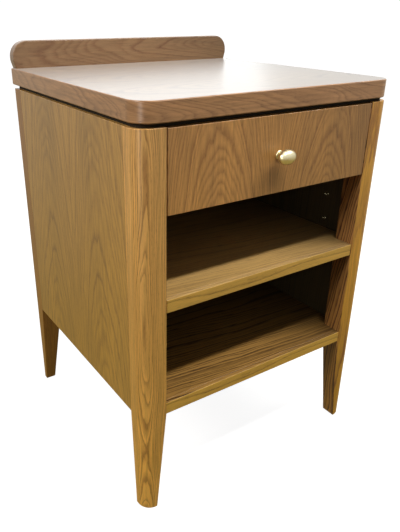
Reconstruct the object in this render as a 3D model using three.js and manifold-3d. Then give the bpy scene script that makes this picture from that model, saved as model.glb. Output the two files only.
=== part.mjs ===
// A bedside cabinet on four tapered legs: one drawer on telescopic runners, an open compartment
// with a lift-off shelf, and a fixed bottom shelf. Millimetres, +Z up. The origin is on the floor
// under the middle of the whole cabinet, +X is the right-hand side as seen from the front, and the
// drawer opens towards -Y. Every left-hand piece mirrors its right-hand twin.

import * as THREE from "three";
import { mergeVertices } from "three/addons/utils/BufferGeometryUtils.js";
import Module from "manifold-3d";

const wasm = await Module();
wasm.setup();

// ---- Driving dimensions ----

const WIDTH = 500;
const TOP_DEPTH = 487;
const TOP_THICKNESS = 30;
const TOP_SURFACE = 704;
const TOP_CORNER_RADIUS = 33;
const TOP_EASE = 2;

const UPSTAND_HEIGHT = 49;
const UPSTAND_THICKNESS = 20;
const UPSTAND_END_INSET = 4;
const UPSTAND_END_SWEEP = 18;
const UPSTAND_CORNER_RADIUS = 29;
const UPSTAND_HOUSING = 5;

const SPACER_HEIGHT = 6;
const SPACER_INSET = 7;

const KNOB_PROJECTION = 28;
const FRONT_OVERHANG = 3;
const REAR_OVERHANG = 11;

const LEG_WIDTH = 45;
const FRONT_LEG_DEPTH = 40;
const REAR_LEG_DEPTH = 29;
const LEG_CORNER_RADIUS = 24;
const TAPER_START = 195;
const FOOT_EASE = 1.5;
const FRONT_FOOT = { width: 26, depth: 28.5 };
const REAR_FOOT = { width: 21, depth: 12 };

const SIDE_THICKNESS = 19;
const CARCASS_BOTTOM = 196;
const TONGUE_THICKNESS = 6;
const TONGUE_LENGTH = 8;
const GROOVE_CLEARANCE = 0.25;

const BACK_THICKNESS = 12;
const BACK_INSET = 4;
const BACK_HOUSING = 6;

const SHELF_THICKNESS = 22;
const MIDDLE_SHELF_BOTTOM = 386.5;
const LIPPING_DEPTH = 8;
const SHELF_SETBACK = 1;
const SHELF_CLEARANCE = 1;

const RAIL_THICKNESS = 20;
const RAIL_DEPTH = 60;

const DRAWER_FRONT_BOTTOM = 543.5;
const DRAWER_FRONT_HEIGHT = 123;
const DRAWER_FRONT_THICKNESS = 20;
const DRAWER_FRONT_GAP = 1.75;
const BOX_BOTTOM = 556;
const BOX_HEIGHT = 84;
const BOX_LENGTH = 400;
const BOX_WALL = 12;
const BOX_FLOOR_THICKNESS = 6;
const BOX_FLOOR_RAISE = 10;
const BOX_FLOOR_HOUSING = 6;

const RUNNER_LENGTH = 400;
const RUNNER_WIDTH = 12.5;
const RUNNER_CENTRE = 582;
const RUNNER_FRONT_GAP = 4;
const RUNNER_SHEET = 1.25;
const CAGE_SHEET = 0.75;
const CAGE_LENGTH = 200;
const BATTEN_HEIGHT = 50;

const SLEEVE_ROWS = [377, 427, 477];
const SLEEVE_FRONT_SETBACK = 97;
const SLEEVE_REAR_SETBACK = 347;
const SLEEVE = { rim: 4, rimHeight: 0.5, outer: 3.5, bore: 2.5, length: 10 };
const BRACKET = { width: 14, ledge: 13, plate: 1.5, drop: 17, pin: 2.25, pinLength: 9 };

const KNOB = { width: 33, height: 24, depth: 20, neck: 4, rosette: 7.25, rosetteHeight: 3, tap: 9 };

const ROUND_STEPS = 16;

// ---- Places worked out from them ----

const HALF = WIDTH / 2;
const FRONT = KNOB_PROJECTION - (TOP_DEPTH - FRONT_OVERHANG + KNOB_PROJECTION) / 2;
const TOP_FRONT = FRONT - FRONT_OVERHANG;
const TOP_REAR = TOP_FRONT + TOP_DEPTH;
const REAR = TOP_REAR - REAR_OVERHANG;
const TOP_UNDERSIDE = TOP_SURFACE - TOP_THICKNESS;
const CARCASS_TOP = TOP_UNDERSIDE - SPACER_HEIGHT;
const LEG_INNER = HALF - LEG_WIDTH;
const SIDE_INNER = HALF - SIDE_THICKNESS;
const FRONT_LEG_BACK = FRONT + FRONT_LEG_DEPTH;
const REAR_LEG_FRONT = REAR - REAR_LEG_DEPTH;
const BACK_REAR = REAR - BACK_INSET;
const BACK_FRONT = BACK_REAR - BACK_THICKNESS;
const DRAWER_CENTRE = DRAWER_FRONT_BOTTOM + DRAWER_FRONT_HEIGHT / 2;
const DRAWER_FRONT_BACK = FRONT + DRAWER_FRONT_THICKNESS;
const BOX_REAR = DRAWER_FRONT_BACK + BOX_LENGTH;
const BOX_OUTER = LEG_INNER - RUNNER_WIDTH;
const BOX_INNER = BOX_OUTER - BOX_WALL;
const RUNNER_FRONT = DRAWER_FRONT_BACK + RUNNER_FRONT_GAP;
const SIDES = { left: -1, right: 1 };
const SCREW_X = 120;
const FRONT_RAIL_FRONT = DRAWER_FRONT_BACK + 3;
const RAIL_SCREW_Y = {
  front: FRONT_RAIL_FRONT + RAIL_DEPTH / 2,
  rear: BACK_FRONT - RAIL_DEPTH / 2,
};

// ---- Finishes ----

const FINISHES = {
  oakVeneer: { color: 0x94703e, roughness: 0.45, metalness: 0 },
  oakSolid: { color: 0xa57a42, roughness: 0.42, metalness: 0 },
  oakTop: { color: 0x7c5a3c, roughness: 0.3, metalness: 0 },
  oakLipping: { color: 0xb08a48, roughness: 0.42, metalness: 0 },
  darkStain: { color: 0x2a1a12, roughness: 0.5, metalness: 0 },
  backBoard: { color: 0x4a3820, roughness: 0.6, metalness: 0 },
  softwood: { color: 0xb8945c, roughness: 0.7, metalness: 0 },
  birchPly: { color: 0xc8a874, roughness: 0.6, metalness: 0 },
  brass: { color: 0xc8a24a, roughness: 0.2, metalness: 1 },
  steel: { color: 0xb4b8bc, roughness: 0.35, metalness: 1 },
};

const cabinet = new THREE.Group();

function addPiece(name, geometry, finish) {
  const mesh = new THREE.Mesh(geometry, new THREE.MeshStandardMaterial(FINISHES[finish]));
  mesh.name = name;
  cabinet.add(mesh);
}

// ---- Solids: joining and cutting ----

function toSolid(geometry) {
  const bare = new THREE.BufferGeometry();
  bare.setAttribute("position", geometry.getAttribute("position").clone());
  if (geometry.index) bare.setIndex(geometry.index.clone());
  const merged = mergeVertices(bare, 1e-4);
  const mesh = new wasm.Mesh({
    numProp: 3,
    vertProperties: new Float32Array(merged.getAttribute("position").array),
    triVerts: new Uint32Array(merged.index.array),
  });
  return new wasm.Manifold(mesh);
}

function toGeometry(solid) {
  const mesh = solid.getMesh();
  const geometry = new THREE.BufferGeometry();
  geometry.setAttribute("position", new THREE.BufferAttribute(new Float32Array(mesh.vertProperties), 3));
  geometry.setIndex(new THREE.BufferAttribute(new Uint32Array(mesh.triVerts), 1));
  return geometry;
}

function cut(body, cutters) {
  return toGeometry(cutters.reduce((solid, cutter) => solid.subtract(toSolid(cutter)), toSolid(body)));
}

function join(bodies) {
  return toGeometry(bodies.slice(1).reduce((solid, body) => solid.add(toSolid(body)), toSolid(bodies[0])));
}

// ---- Basic forms ----

// A box between two values on each axis; the two x values may be given in either order.
function boxBetween(xa, xb, y0, y1, z0, z1) {
  const geometry = new THREE.BoxGeometry(Math.abs(xb - xa), y1 - y0, z1 - z0);
  return geometry.translate((xa + xb) / 2, (y0 + y1) / 2, (z0 + z1) / 2);
}

function shapeFrom(points) {
  return new THREE.Shape(points.map(([x, y]) => new THREE.Vector2(x, y)));
}

// A plan outline in X and Y raised from z0 to z1.
function raised(shape, z0, z1) {
  const options = { depth: z1 - z0, bevelEnabled: false, curveSegments: ROUND_STEPS / 2 };
  return new THREE.ExtrudeGeometry(shape, options).translate(0, 0, z0);
}

// An outline in X and Z drawn out from y0 to y1.
function drawnAlongY(shape, y0, y1) {
  return raised(shape, 0, y1 - y0).rotateX(Math.PI / 2).translate(0, y1, 0);
}

// A closed skin through a stack of outlines with the same number of points, lowest first.
function lofted(sections) {
  const count = sections[0].outline.length;
  const positions = sections.flatMap(({ z, outline }) => outline.flatMap(([x, y]) => [x, y, z]));
  const cap = THREE.ShapeUtils.triangulateShape(shapeFrom(sections[0].outline).getPoints(), []);
  const last = (sections.length - 1) * count;
  const index = [];
  cap.forEach(([a, b, c]) => index.push(a, c, b, last + a, last + b, last + c));
  for (let level = 0; level < last; level += count) {
    for (let i = 0; i < count; i += 1) {
      const j = (i + 1) % count;
      index.push(level + i, level + j, level + count + j);
      index.push(level + i, level + count + j, level + count + i);
    }
  }
  const geometry = new THREE.BufferGeometry();
  geometry.setAttribute("position", new THREE.Float32BufferAttribute(positions, 3));
  geometry.setIndex(index);
  return geometry;
}

// A solid turned about the Y axis from points of radius and y, lowest y first.
function turned(profile, steps = ROUND_STEPS) {
  return new THREE.LatheGeometry(profile.map(([r, y]) => new THREE.Vector2(r, y)), steps);
}

function roundBar(radius, y0, y1) {
  return turned([[0, y0], [radius, y0], [radius, y1], [0, y1]]);
}

// The piece drawn for the right-hand side, or its mirror image for the left.
function forSide(geometry, side) {
  if (side > 0) return geometry;
  const mirrored = geometry.index ? geometry.toNonIndexed() : geometry.clone();
  const position = mirrored.getAttribute("position");
  const corner = [new THREE.Vector3(), new THREE.Vector3(), new THREE.Vector3()];
  for (let i = 0; i < position.count; i += 3) {
    corner.forEach((v, k) => v.fromBufferAttribute(position, i + k));
    [0, 2, 1].forEach((from, k) => position.setXYZ(i + k, -corner[from].x, corner[from].y, corner[from].z));
  }
  return mirrored;
}

// ---- Top, upstand and shadow gap ----

// A plan outline with square rear corners and rounded front corners.
function roundFrontOutline(half, front, rear, radius) {
  const shape = new THREE.Shape();
  shape.moveTo(half, rear);
  shape.lineTo(-half, rear);
  shape.lineTo(-half, front + radius);
  shape.absarc(-half + radius, front + radius, radius, Math.PI, 1.5 * Math.PI, false);
  shape.lineTo(half - radius, front);
  shape.absarc(half - radius, front + radius, radius, 1.5 * Math.PI, 2 * Math.PI, false);
  return shape;
}

function topScrewHoles() {
  return [-1, 1].flatMap((side) =>
    Object.values(RAIL_SCREW_Y).map((y) =>
      roundBar(2.75, 0, 60).rotateX(Math.PI / 2).translate(side * SCREW_X, y, TOP_UNDERSIDE - 47),
    ),
  );
}

function topSlab() {
  const outline = roundFrontOutline(HALF, TOP_FRONT, TOP_REAR, TOP_CORNER_RADIUS);
  const eased = new THREE.ExtrudeGeometry(outline, {
    depth: TOP_THICKNESS - 2 * TOP_EASE,
    bevelThickness: TOP_EASE,
    bevelSize: TOP_EASE,
    bevelOffset: -TOP_EASE,
    bevelSegments: 1,
    curveSegments: ROUND_STEPS / 2,
  }).translate(0, 0, TOP_UNDERSIDE + TOP_EASE);
  const end = HALF - UPSTAND_END_INSET;
  const housing = boxBetween(
    -end, end, TOP_REAR - UPSTAND_THICKNESS, TOP_REAR + 1, TOP_SURFACE - UPSTAND_HOUSING, TOP_SURFACE + 1,
  );
  addPiece("top_slab", cut(eased, [housing, ...topScrewHoles()]), "oakTop");
}

function upstand() {
  const foot = HALF - UPSTAND_END_INSET;
  const head = TOP_SURFACE + UPSTAND_HEIGHT;
  const sweep = TOP_SURFACE + UPSTAND_END_SWEEP;
  const radius = UPSTAND_CORNER_RADIUS;
  const shape = new THREE.Shape();
  shape.moveTo(-foot, TOP_SURFACE - UPSTAND_HOUSING);
  shape.lineTo(foot, TOP_SURFACE - UPSTAND_HOUSING);
  shape.lineTo(foot, TOP_SURFACE);
  shape.quadraticCurveTo(HALF, TOP_SURFACE + UPSTAND_END_SWEEP / 2, HALF, sweep);
  shape.lineTo(HALF, head - radius);
  shape.absarc(HALF - radius, head - radius, radius, 0, Math.PI / 2, false);
  shape.lineTo(-HALF + radius, head);
  shape.absarc(-HALF + radius, head - radius, radius, Math.PI / 2, Math.PI, false);
  shape.lineTo(-HALF, sweep);
  shape.quadraticCurveTo(-HALF, TOP_SURFACE + UPSTAND_END_SWEEP / 2, -foot, TOP_SURFACE);
  addPiece("upstand", drawnAlongY(shape, TOP_REAR - UPSTAND_THICKNESS, TOP_REAR), "oakTop");
}

function shadowGapSpacer() {
  const outline = roundFrontOutline(
    HALF - SPACER_INSET, FRONT + SPACER_INSET, REAR - SPACER_INSET, LEG_CORNER_RADIUS - SPACER_INSET,
  );
  const board = raised(outline, CARCASS_TOP, TOP_UNDERSIDE);
  addPiece("shadow_gap_spacer", cut(board, topScrewHoles()), "darkStain");
}

// ---- Legs ----

// The right-hand front leg in plan: its outer front corner is rounded, and inset shrinks it all round.
function frontLegOutline(width, depth, inset) {
  const radius = LEG_CORNER_RADIUS - inset;
  const centre = [HALF - LEG_CORNER_RADIUS, FRONT + LEG_CORNER_RADIUS];
  const points = [];
  for (let step = 0; step <= ROUND_STEPS / 2; step += 1) {
    const turn = -Math.PI / 2 + (step / ROUND_STEPS) * Math.PI;
    points.push([centre[0] + radius * Math.cos(turn), centre[1] + radius * Math.sin(turn)]);
  }
  points.push([HALF - inset, FRONT + depth - inset]);
  points.push([HALF - width + inset, FRONT + depth - inset]);
  points.push([HALF - width + inset, FRONT + inset]);
  return points;
}

function rearLegOutline(width, depth, inset) {
  return [
    [HALF - width + inset, REAR - depth + inset],
    [HALF - inset, REAR - depth + inset],
    [HALF - inset, REAR - inset],
    [HALF - width + inset, REAR - inset],
  ];
}

// A post that is straight down to the taper, and then narrows on its two inner faces to the foot.
function taperedLeg(outline, depth, foot) {
  const share = FOOT_EASE / TAPER_START;
  const above = {
    width: foot.width + share * (LEG_WIDTH - foot.width),
    depth: foot.depth + share * (depth - foot.depth),
  };
  return lofted([
    { z: 0, outline: outline(foot.width, foot.depth, FOOT_EASE) },
    { z: FOOT_EASE, outline: outline(above.width, above.depth, 0) },
    { z: TAPER_START, outline: outline(LEG_WIDTH, depth, 0) },
    { z: CARCASS_TOP, outline: outline(LEG_WIDTH, depth, 0) },
  ]);
}

// The slot for a side panel's tongue, cut into a leg's face between y0 and y1.
function sideGroove(y0, y1) {
  const middle = HALF - SIDE_THICKNESS / 2;
  const half = TONGUE_THICKNESS / 2 + GROOVE_CLEARANCE;
  return boxBetween(middle - half, middle + half, y0, y1, CARCASS_BOTTOM - GROOVE_CLEARANCE, CARCASS_TOP + 1);
}

function legs() {
  const reach = TONGUE_LENGTH + GROOVE_CLEARANCE;
  const front = cut(taperedLeg(frontLegOutline, FRONT_LEG_DEPTH, FRONT_FOOT), [
    sideGroove(FRONT_LEG_BACK - reach, FRONT_LEG_BACK + 1),
  ]);
  const backGroove = boxBetween(
    LEG_INNER - 1, LEG_INNER + BACK_HOUSING + GROOVE_CLEARANCE,
    BACK_FRONT - GROOVE_CLEARANCE, BACK_REAR + GROOVE_CLEARANCE,
    CARCASS_BOTTOM - GROOVE_CLEARANCE, CARCASS_TOP + 1,
  );
  const rear = cut(taperedLeg(rearLegOutline, REAR_LEG_DEPTH, REAR_FOOT), [
    sideGroove(REAR_LEG_FRONT - 1, REAR_LEG_FRONT + reach),
    backGroove,
  ]);
  for (const [name, side] of Object.entries(SIDES)) {
    addPiece(`front_leg_${name}`, forSide(front, side), "oakSolid");
    addPiece(`rear_leg_${name}`, forSide(rear, side), "oakSolid");
  }
}

// ---- Side panels, back, rails and fixed bottom ----

function sleevePlaces() {
  const rows = { low: SLEEVE_ROWS[0], mid: SLEEVE_ROWS[1], high: SLEEVE_ROWS[2] };
  const columns = { front: FRONT + SLEEVE_FRONT_SETBACK, rear: FRONT + SLEEVE_REAR_SETBACK };
  return Object.entries(columns).flatMap(([column, y]) =>
    Object.entries(rows).map(([row, z]) => ({ column, row, y, z })),
  );
}

function sidePanels() {
  const middle = HALF - SIDE_THICKNESS / 2;
  const [inner, outer] = [middle - TONGUE_THICKNESS / 2, middle + TONGUE_THICKNESS / 2];
  const outline = shapeFrom([
    [SIDE_INNER, FRONT_LEG_BACK],
    [inner, FRONT_LEG_BACK],
    [inner, FRONT_LEG_BACK - TONGUE_LENGTH],
    [outer, FRONT_LEG_BACK - TONGUE_LENGTH],
    [outer, FRONT_LEG_BACK],
    [HALF, FRONT_LEG_BACK],
    [HALF, REAR_LEG_FRONT],
    [outer, REAR_LEG_FRONT],
    [outer, REAR_LEG_FRONT + TONGUE_LENGTH],
    [inner, REAR_LEG_FRONT + TONGUE_LENGTH],
    [inner, REAR_LEG_FRONT],
    [SIDE_INNER, REAR_LEG_FRONT],
  ]);
  const holes = sleevePlaces().map(({ y, z }) =>
    roundBar(SLEEVE.outer + 0.3, -SLEEVE.length - 0.5, 1).rotateZ(Math.PI / 2).translate(SIDE_INNER, y, z),
  );
  const panel = cut(raised(outline, CARCASS_BOTTOM, CARCASS_TOP), holes);
  for (const [name, side] of Object.entries(SIDES)) {
    addPiece(`side_panel_${name}`, forSide(panel, side), "oakVeneer");
  }
}

function backPanel() {
  const half = LEG_INNER + BACK_HOUSING;
  const board = boxBetween(-half, half, BACK_FRONT, BACK_REAR, CARCASS_BOTTOM, CARCASS_TOP);
  addPiece("back_panel", board, "backBoard");
}

// A board between the side panels, notched round whichever legs lie between its front and rear edges.
function notchedOutline(front, rear, clearance) {
  const narrow = LEG_INNER - clearance;
  const wide = SIDE_INNER - clearance;
  const right = [];
  if (front < FRONT_LEG_BACK) right.push([narrow, front], [narrow, FRONT_LEG_BACK + clearance]);
  right.push([wide, Math.max(front, FRONT_LEG_BACK + clearance)]);
  right.push([wide, Math.min(rear, REAR_LEG_FRONT - clearance)]);
  if (rear > REAR_LEG_FRONT) right.push([narrow, REAR_LEG_FRONT - clearance], [narrow, rear]);
  const left = right.map(([x, y]) => [-x, y]).reverse();
  return shapeFrom([...right, ...left]);
}

function shelfWithLipping(name, bottom, clearance) {
  const front = FRONT + SHELF_SETBACK;
  const rear = BACK_FRONT - clearance;
  const top = bottom + SHELF_THICKNESS;
  const end = LEG_INNER - clearance;
  const outline = notchedOutline(front + LIPPING_DEPTH, rear, clearance);
  addPiece(name, raised(outline, bottom, top), "oakVeneer");
  const lipping = boxBetween(-end, end, front, front + LIPPING_DEPTH, bottom, top);
  addPiece(`${name}_lipping`, lipping, "oakLipping");
}

function rails() {
  const bottom = CARCASS_TOP - RAIL_THICKNESS;
  const front = notchedOutline(FRONT_RAIL_FRONT, FRONT_RAIL_FRONT + RAIL_DEPTH, 0);
  const rear = notchedOutline(BACK_FRONT - RAIL_DEPTH, BACK_FRONT, 0);
  addPiece("top_front_rail", cut(raised(front, bottom, CARCASS_TOP), topScrewHoles()), "softwood");
  addPiece("top_rear_rail", cut(raised(rear, bottom, CARCASS_TOP), topScrewHoles()), "softwood");
}

// A pan-head screw along the Y axis: the head is at y > 0 and the shank runs to -length.
function panScrew(shank, length) {
  const head = shank * 2;
  const height = shank * 1.1;
  return turned([
    [0, -length],
    [shank * 0.3, -length],
    [shank, -length + shank * 2.5],
    [shank, 0],
    [head, 0],
    [head, height * 0.4],
    [head * 0.6, height],
    [0, height],
  ]);
}

function topScrews() {
  const underRail = CARCASS_TOP - RAIL_THICKNESS;
  for (const [name, side] of Object.entries(SIDES)) {
    for (const [row, y] of Object.entries(RAIL_SCREW_Y)) {
      const screw = panScrew(2.25, 38).rotateX(-Math.PI / 2).translate(side * SCREW_X, y, underRail);
      addPiece(`top_screw_${row}_${name}`, screw, "steel");
    }
  }
}

// ---- Shelf sleeves and brackets ----

function shelfSleeves() {
  const { rim, rimHeight, outer, bore, length } = SLEEVE;
  const sleeve = turned([
    [bore, -length],
    [outer, -length],
    [outer, 0],
    [rim, 0],
    [rim, rimHeight],
    [bore, rimHeight],
    [bore, -length],
  ]);
  for (const [name, side] of Object.entries(SIDES)) {
    for (const { column, row, y, z } of sleevePlaces()) {
      const placed = sleeve.clone().rotateZ(Math.PI / 2).translate(SIDE_INNER, y, z);
      addPiece(`shelf_sleeve_${column}_${row}_${name}`, forSide(placed, side), "brass");
    }
  }
}

// A bent plate that hangs from its ledge, with a pin on its back in the lowest sleeve.
function shelfBrackets() {
  const { width, ledge, plate, drop, pin, pinLength } = BRACKET;
  const face = SIDE_INNER - SLEEVE.rimHeight - 0.25;
  const top = MIDDLE_SHELF_BOTTOM;
  for (const [name, side] of Object.entries(SIDES)) {
    for (const { column, row, y, z } of sleevePlaces()) {
      if (row !== "low") continue;
      const bracket = join([
        boxBetween(face - ledge, face, y - width / 2, y + width / 2, top - plate, top),
        boxBetween(face - plate, face, y - width / 2, y + width / 2, top - drop, top),
        roundBar(pin, -pinLength, plate / 2).rotateZ(Math.PI / 2).translate(face, y, z),
      ]);
      addPiece(`shelf_bracket_${column}_${name}`, forSide(bracket, side), "steel");
    }
  }
}

// ---- Drawer ----

function drawerFront() {
  const end = LEG_INNER - DRAWER_FRONT_GAP;
  const top = DRAWER_FRONT_BOTTOM + DRAWER_FRONT_HEIGHT;
  const board = boxBetween(-end, end, FRONT, DRAWER_FRONT_BACK, DRAWER_FRONT_BOTTOM, top);
  addPiece("drawer_front", cut(board, drawerScrewHoles()), "oakVeneer");
}

// One through hole for the knob, and two blind ones for the screws that hold the front on its box.
function drawerScrewHoles() {
  const back = DRAWER_FRONT_BACK + BOX_WALL + 1;
  const knobHole = roundBar(2.4, FRONT - 1, back).translate(0, 0, DRAWER_CENTRE);
  const screwHoles = [-1, 1].map((side) =>
    roundBar(2.25, FRONT + 5, back).translate(side * SCREW_X, 0, DRAWER_CENTRE),
  );
  return [knobHole, ...screwHoles];
}

function drawerBox() {
  const top = BOX_BOTTOM + BOX_HEIGHT;
  const floor = BOX_BOTTOM + BOX_FLOOR_RAISE;
  const reach = BOX_FLOOR_HOUSING;
  const groove = boxBetween(
    -BOX_INNER - reach, BOX_INNER + reach,
    DRAWER_FRONT_BACK + BOX_WALL - reach, BOX_REAR - BOX_WALL + reach,
    floor - GROOVE_CLEARANCE, floor + BOX_FLOOR_THICKNESS + GROOVE_CLEARANCE,
  );
  const wall = boxBetween(BOX_INNER, BOX_OUTER, DRAWER_FRONT_BACK, BOX_REAR, BOX_BOTTOM, top);
  const side = cut(wall, [groove]);
  for (const [name, sign] of Object.entries(SIDES)) {
    addPiece(`drawer_side_${name}`, forSide(side, sign), "birchPly");
  }
  const frontWall = boxBetween(
    -BOX_INNER, BOX_INNER, DRAWER_FRONT_BACK, DRAWER_FRONT_BACK + BOX_WALL, BOX_BOTTOM, top,
  );
  const rearWall = boxBetween(-BOX_INNER, BOX_INNER, BOX_REAR - BOX_WALL, BOX_REAR, BOX_BOTTOM, top);
  addPiece("drawer_box_front", cut(frontWall, [groove, ...drawerScrewHoles()]), "birchPly");
  addPiece("drawer_box_back", cut(rearWall, [groove]), "birchPly");
  const edge = reach - 2 * GROOVE_CLEARANCE;
  const bottom = boxBetween(
    -BOX_INNER - edge, BOX_INNER + edge,
    DRAWER_FRONT_BACK + BOX_WALL - edge, BOX_REAR - BOX_WALL + edge,
    floor, floor + BOX_FLOOR_THICKNESS,
  );
  addPiece("drawer_bottom", bottom, "birchPly");
}

function drawerScrews() {
  for (const [name, side] of Object.entries(SIDES)) {
    const screw = panScrew(2, 25).translate(side * SCREW_X, DRAWER_FRONT_BACK + BOX_WALL, DRAWER_CENTRE);
    addPiece(`drawer_front_screw_${name}`, screw, "steel");
  }
}

// An oval head on a turned neck: a round profile, widened in X above the neck.
function knob() {
  const { width, height, depth, neck, rosette, rosetteHeight, tap } = KNOB;
  const tip = FRONT - KNOB_PROJECTION;
  const middle = tip + depth / 2;
  const profile = [];
  for (let step = 0; step <= 10; step += 1) {
    const turn = -Math.PI / 2 + (step / 10) * Math.PI * 0.9;
    profile.push([(height / 2) * Math.cos(turn), middle + (depth / 2) * Math.sin(turn)]);
  }
  profile[0][0] = 0;
  const ovalPoints = [...profile, [0, profile.at(-1)[1]]];
  const oval = turned(ovalPoints, 24).scale(width / height, 1, 1);
  const stem = roundBar(neck, middle, FRONT);
  const tapped = roundBar(2.4, FRONT - tap, FRONT + 1);
  const head = toGeometry(toSolid(oval).add(toSolid(stem)).subtract(toSolid(tapped)));
  addPiece("knob_head", head.translate(0, 0, DRAWER_CENTRE), "brass");
  const ring = turned([
    [neck + 0.3, FRONT - rosetteHeight],
    [rosette - 1.5, FRONT - rosetteHeight],
    [rosette, FRONT - rosetteHeight / 2],
    [rosette, FRONT],
    [neck + 0.3, FRONT],
    [neck + 0.3, FRONT - rosetteHeight],
  ], 24);
  addPiece("knob_rosette", ring.translate(0, 0, DRAWER_CENTRE), "brass");
  const length = BOX_WALL + DRAWER_FRONT_THICKNESS + tap - 1;
  const screw = panScrew(2, length).translate(0, DRAWER_FRONT_BACK + BOX_WALL, DRAWER_CENTRE);
  addPiece("knob_screw", screw, "steel");
}

// ---- Telescopic runners ----

// A channel in section: a web from one height to the other, with a flange along each edge.
// Widths count from the leg's inner face towards the drawer, heights from the runner's centre.
function channelPoints(webSide, flangeEnd, halfHeight, sheet, lip) {
  const inward = Math.sign(flangeEnd - webSide);
  const upper = [
    [webSide, halfHeight],
    [flangeEnd, halfHeight],
    ...(lip ? [[flangeEnd, halfHeight - lip], [flangeEnd - inward * sheet, halfHeight - lip]] : []),
    [flangeEnd - (lip ? inward * sheet : 0), halfHeight - sheet],
    [webSide + inward * sheet, halfHeight - sheet],
  ];
  const lower = upper.map(([u, v]) => [u, -v]).reverse();
  return [...upper, ...lower];
}

function runnerPiece(name, side, points, y0, y1, finish) {
  const shape = shapeFrom(points.map(([u, v]) => [LEG_INNER - u, RUNNER_CENTRE + v]));
  addPiece(name, forSide(drawnAlongY(shape, y0, y1), side), finish);
}

function runners() {
  const rear = RUNNER_FRONT + RUNNER_LENGTH;
  const cageFront = RUNNER_FRONT + RUNNER_LENGTH / 4;
  const sheet = RUNNER_SHEET;
  const members = {
    runner_cabinet_member: channelPoints(0, 9, 22.75, sheet, 3),
    runner_middle_member: channelPoints(3, 10.5, 18.25, sheet, 0),
    runner_drawer_member: channelPoints(RUNNER_WIDTH, 5.5, 13.5, sheet, 0),
  };
  const cages = {
    runner_outer_ball_cage: channelPoints(1.75, 7, 20.25, CAGE_SHEET, 0),
    runner_inner_ball_cage: channelPoints(4.5, 10, 15.5, CAGE_SHEET, 0),
  };
  for (const [name, side] of Object.entries(SIDES)) {
    for (const [member, points] of Object.entries(members)) {
      runnerPiece(`${member}_${name}`, side, points, RUNNER_FRONT, rear, "steel");
    }
    for (const [cage, points] of Object.entries(cages)) {
      runnerPiece(`${cage}_${name}`, side, points, cageFront, cageFront + CAGE_LENGTH, "steel");
    }
    const batten = boxBetween(
      LEG_INNER, SIDE_INNER, FRONT_LEG_BACK, REAR_LEG_FRONT,
      RUNNER_CENTRE - BATTEN_HEIGHT / 2, RUNNER_CENTRE + BATTEN_HEIGHT / 2,
    );
    addPiece(`runner_batten_${name}`, forSide(batten, side), "softwood");
  }
}

// ---- The whole cabinet ----

topSlab();
upstand();
shadowGapSpacer();
legs();
sidePanels();
backPanel();
shelfWithLipping("bottom_shelf", CARCASS_BOTTOM, 0);
shelfWithLipping("middle_shelf", MIDDLE_SHELF_BOTTOM, SHELF_CLEARANCE);
rails();
topScrews();
shelfSleeves();
shelfBrackets();
drawerFront();
drawerBox();
drawerScrews();
knob();
runners();

export default cabinet;
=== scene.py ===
"""Bedside cabinet: the finished wood, brass and steel pieces around the cabinet's fixed frame.

Every length is in metres and every place comes from the frame, so a piece is where its solid is.
+Z is up, +X is the right-hand side seen from the front, and the drawer opens towards -Y.
"""

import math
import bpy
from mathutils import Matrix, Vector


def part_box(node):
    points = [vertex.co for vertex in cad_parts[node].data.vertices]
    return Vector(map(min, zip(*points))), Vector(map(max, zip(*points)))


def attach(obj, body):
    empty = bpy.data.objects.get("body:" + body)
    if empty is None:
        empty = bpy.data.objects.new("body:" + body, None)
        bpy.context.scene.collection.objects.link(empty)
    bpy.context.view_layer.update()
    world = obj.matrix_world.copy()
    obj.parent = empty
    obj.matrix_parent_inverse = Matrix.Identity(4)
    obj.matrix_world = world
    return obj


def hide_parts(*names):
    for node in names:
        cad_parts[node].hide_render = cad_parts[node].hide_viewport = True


bl_info = {
    "name": "Bedside Cabinet",
    "version": (1, 0, 0),
    "blender": (4, 5, 0),
    "location": "3D View > Sidebar > Cabinet",
    "description": "Builds the boards, legs, drawer, knob and fittings of a bedside cabinet",
    "category": "Object",
}

import bmesh
import bpy
from bpy.props import FloatProperty, FloatVectorProperty, PointerProperty
from mathutils import Matrix, Vector

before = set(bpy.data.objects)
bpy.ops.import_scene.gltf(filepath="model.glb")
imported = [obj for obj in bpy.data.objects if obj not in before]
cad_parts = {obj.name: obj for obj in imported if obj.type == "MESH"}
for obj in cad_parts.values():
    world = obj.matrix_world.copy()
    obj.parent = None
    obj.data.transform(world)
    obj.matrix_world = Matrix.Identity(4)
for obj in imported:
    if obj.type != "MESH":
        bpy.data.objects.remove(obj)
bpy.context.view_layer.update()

MM = 0.001
SIDES = {"left": -1, "right": 1}
WHITE = (1.0, 1.0, 1.0, 1.0)

# Points nearer than this are one point, and ways shorter than this cancel out.
SAME_POINT = 1e-7
SAME_WAY = 1e-9

# A face looks a given way when its normal agrees by this much, and it lies level when it agrees by more.
NEARLY_THAT_WAY = 0.8
NEARLY_LEVEL = 0.9

# A runner is bent from sheet. Each channel has its web and edge as distances from the leg, its half
# height, its lip, and the body that it rides on.
RUNNER_SHEET = 1.25 * MM
RUNNER_CHANNELS = (
    ("cabinet", 0.0, 9 * MM, 22.75 * MM, 3 * MM, "cabinet"),
    ("middle", 3 * MM, 10.5 * MM, 18.25 * MM, 0.0, "runner_middle_{side}"),
    ("drawer", 12.5 * MM, 5.5 * MM, 13.5 * MM, 0.0, "drawer"),
)


# ---- Sizes and places read from the frame ----


def low(node):
    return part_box(node)[0]


def high(node):
    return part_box(node)[1]


def middle(node):
    lowest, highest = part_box(node)
    return (lowest + highest) / 2


def shade(red, green, blue):
    """A colour given in display values from 0 to 255, as the linear values that a shader takes."""
    shares = [value / 255 for value in (red, green, blue)]
    return tuple(v / 12.92 if v <= 0.04045 else ((v + 0.055) / 1.055) ** 2.4 for v in shares)


def tinted(colour, factors):
    """A colour with its red, green and blue each multiplied by a factor."""
    return tuple(value * factor for value, factor in zip(colour, factors))


# ---- Settings ----


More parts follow.
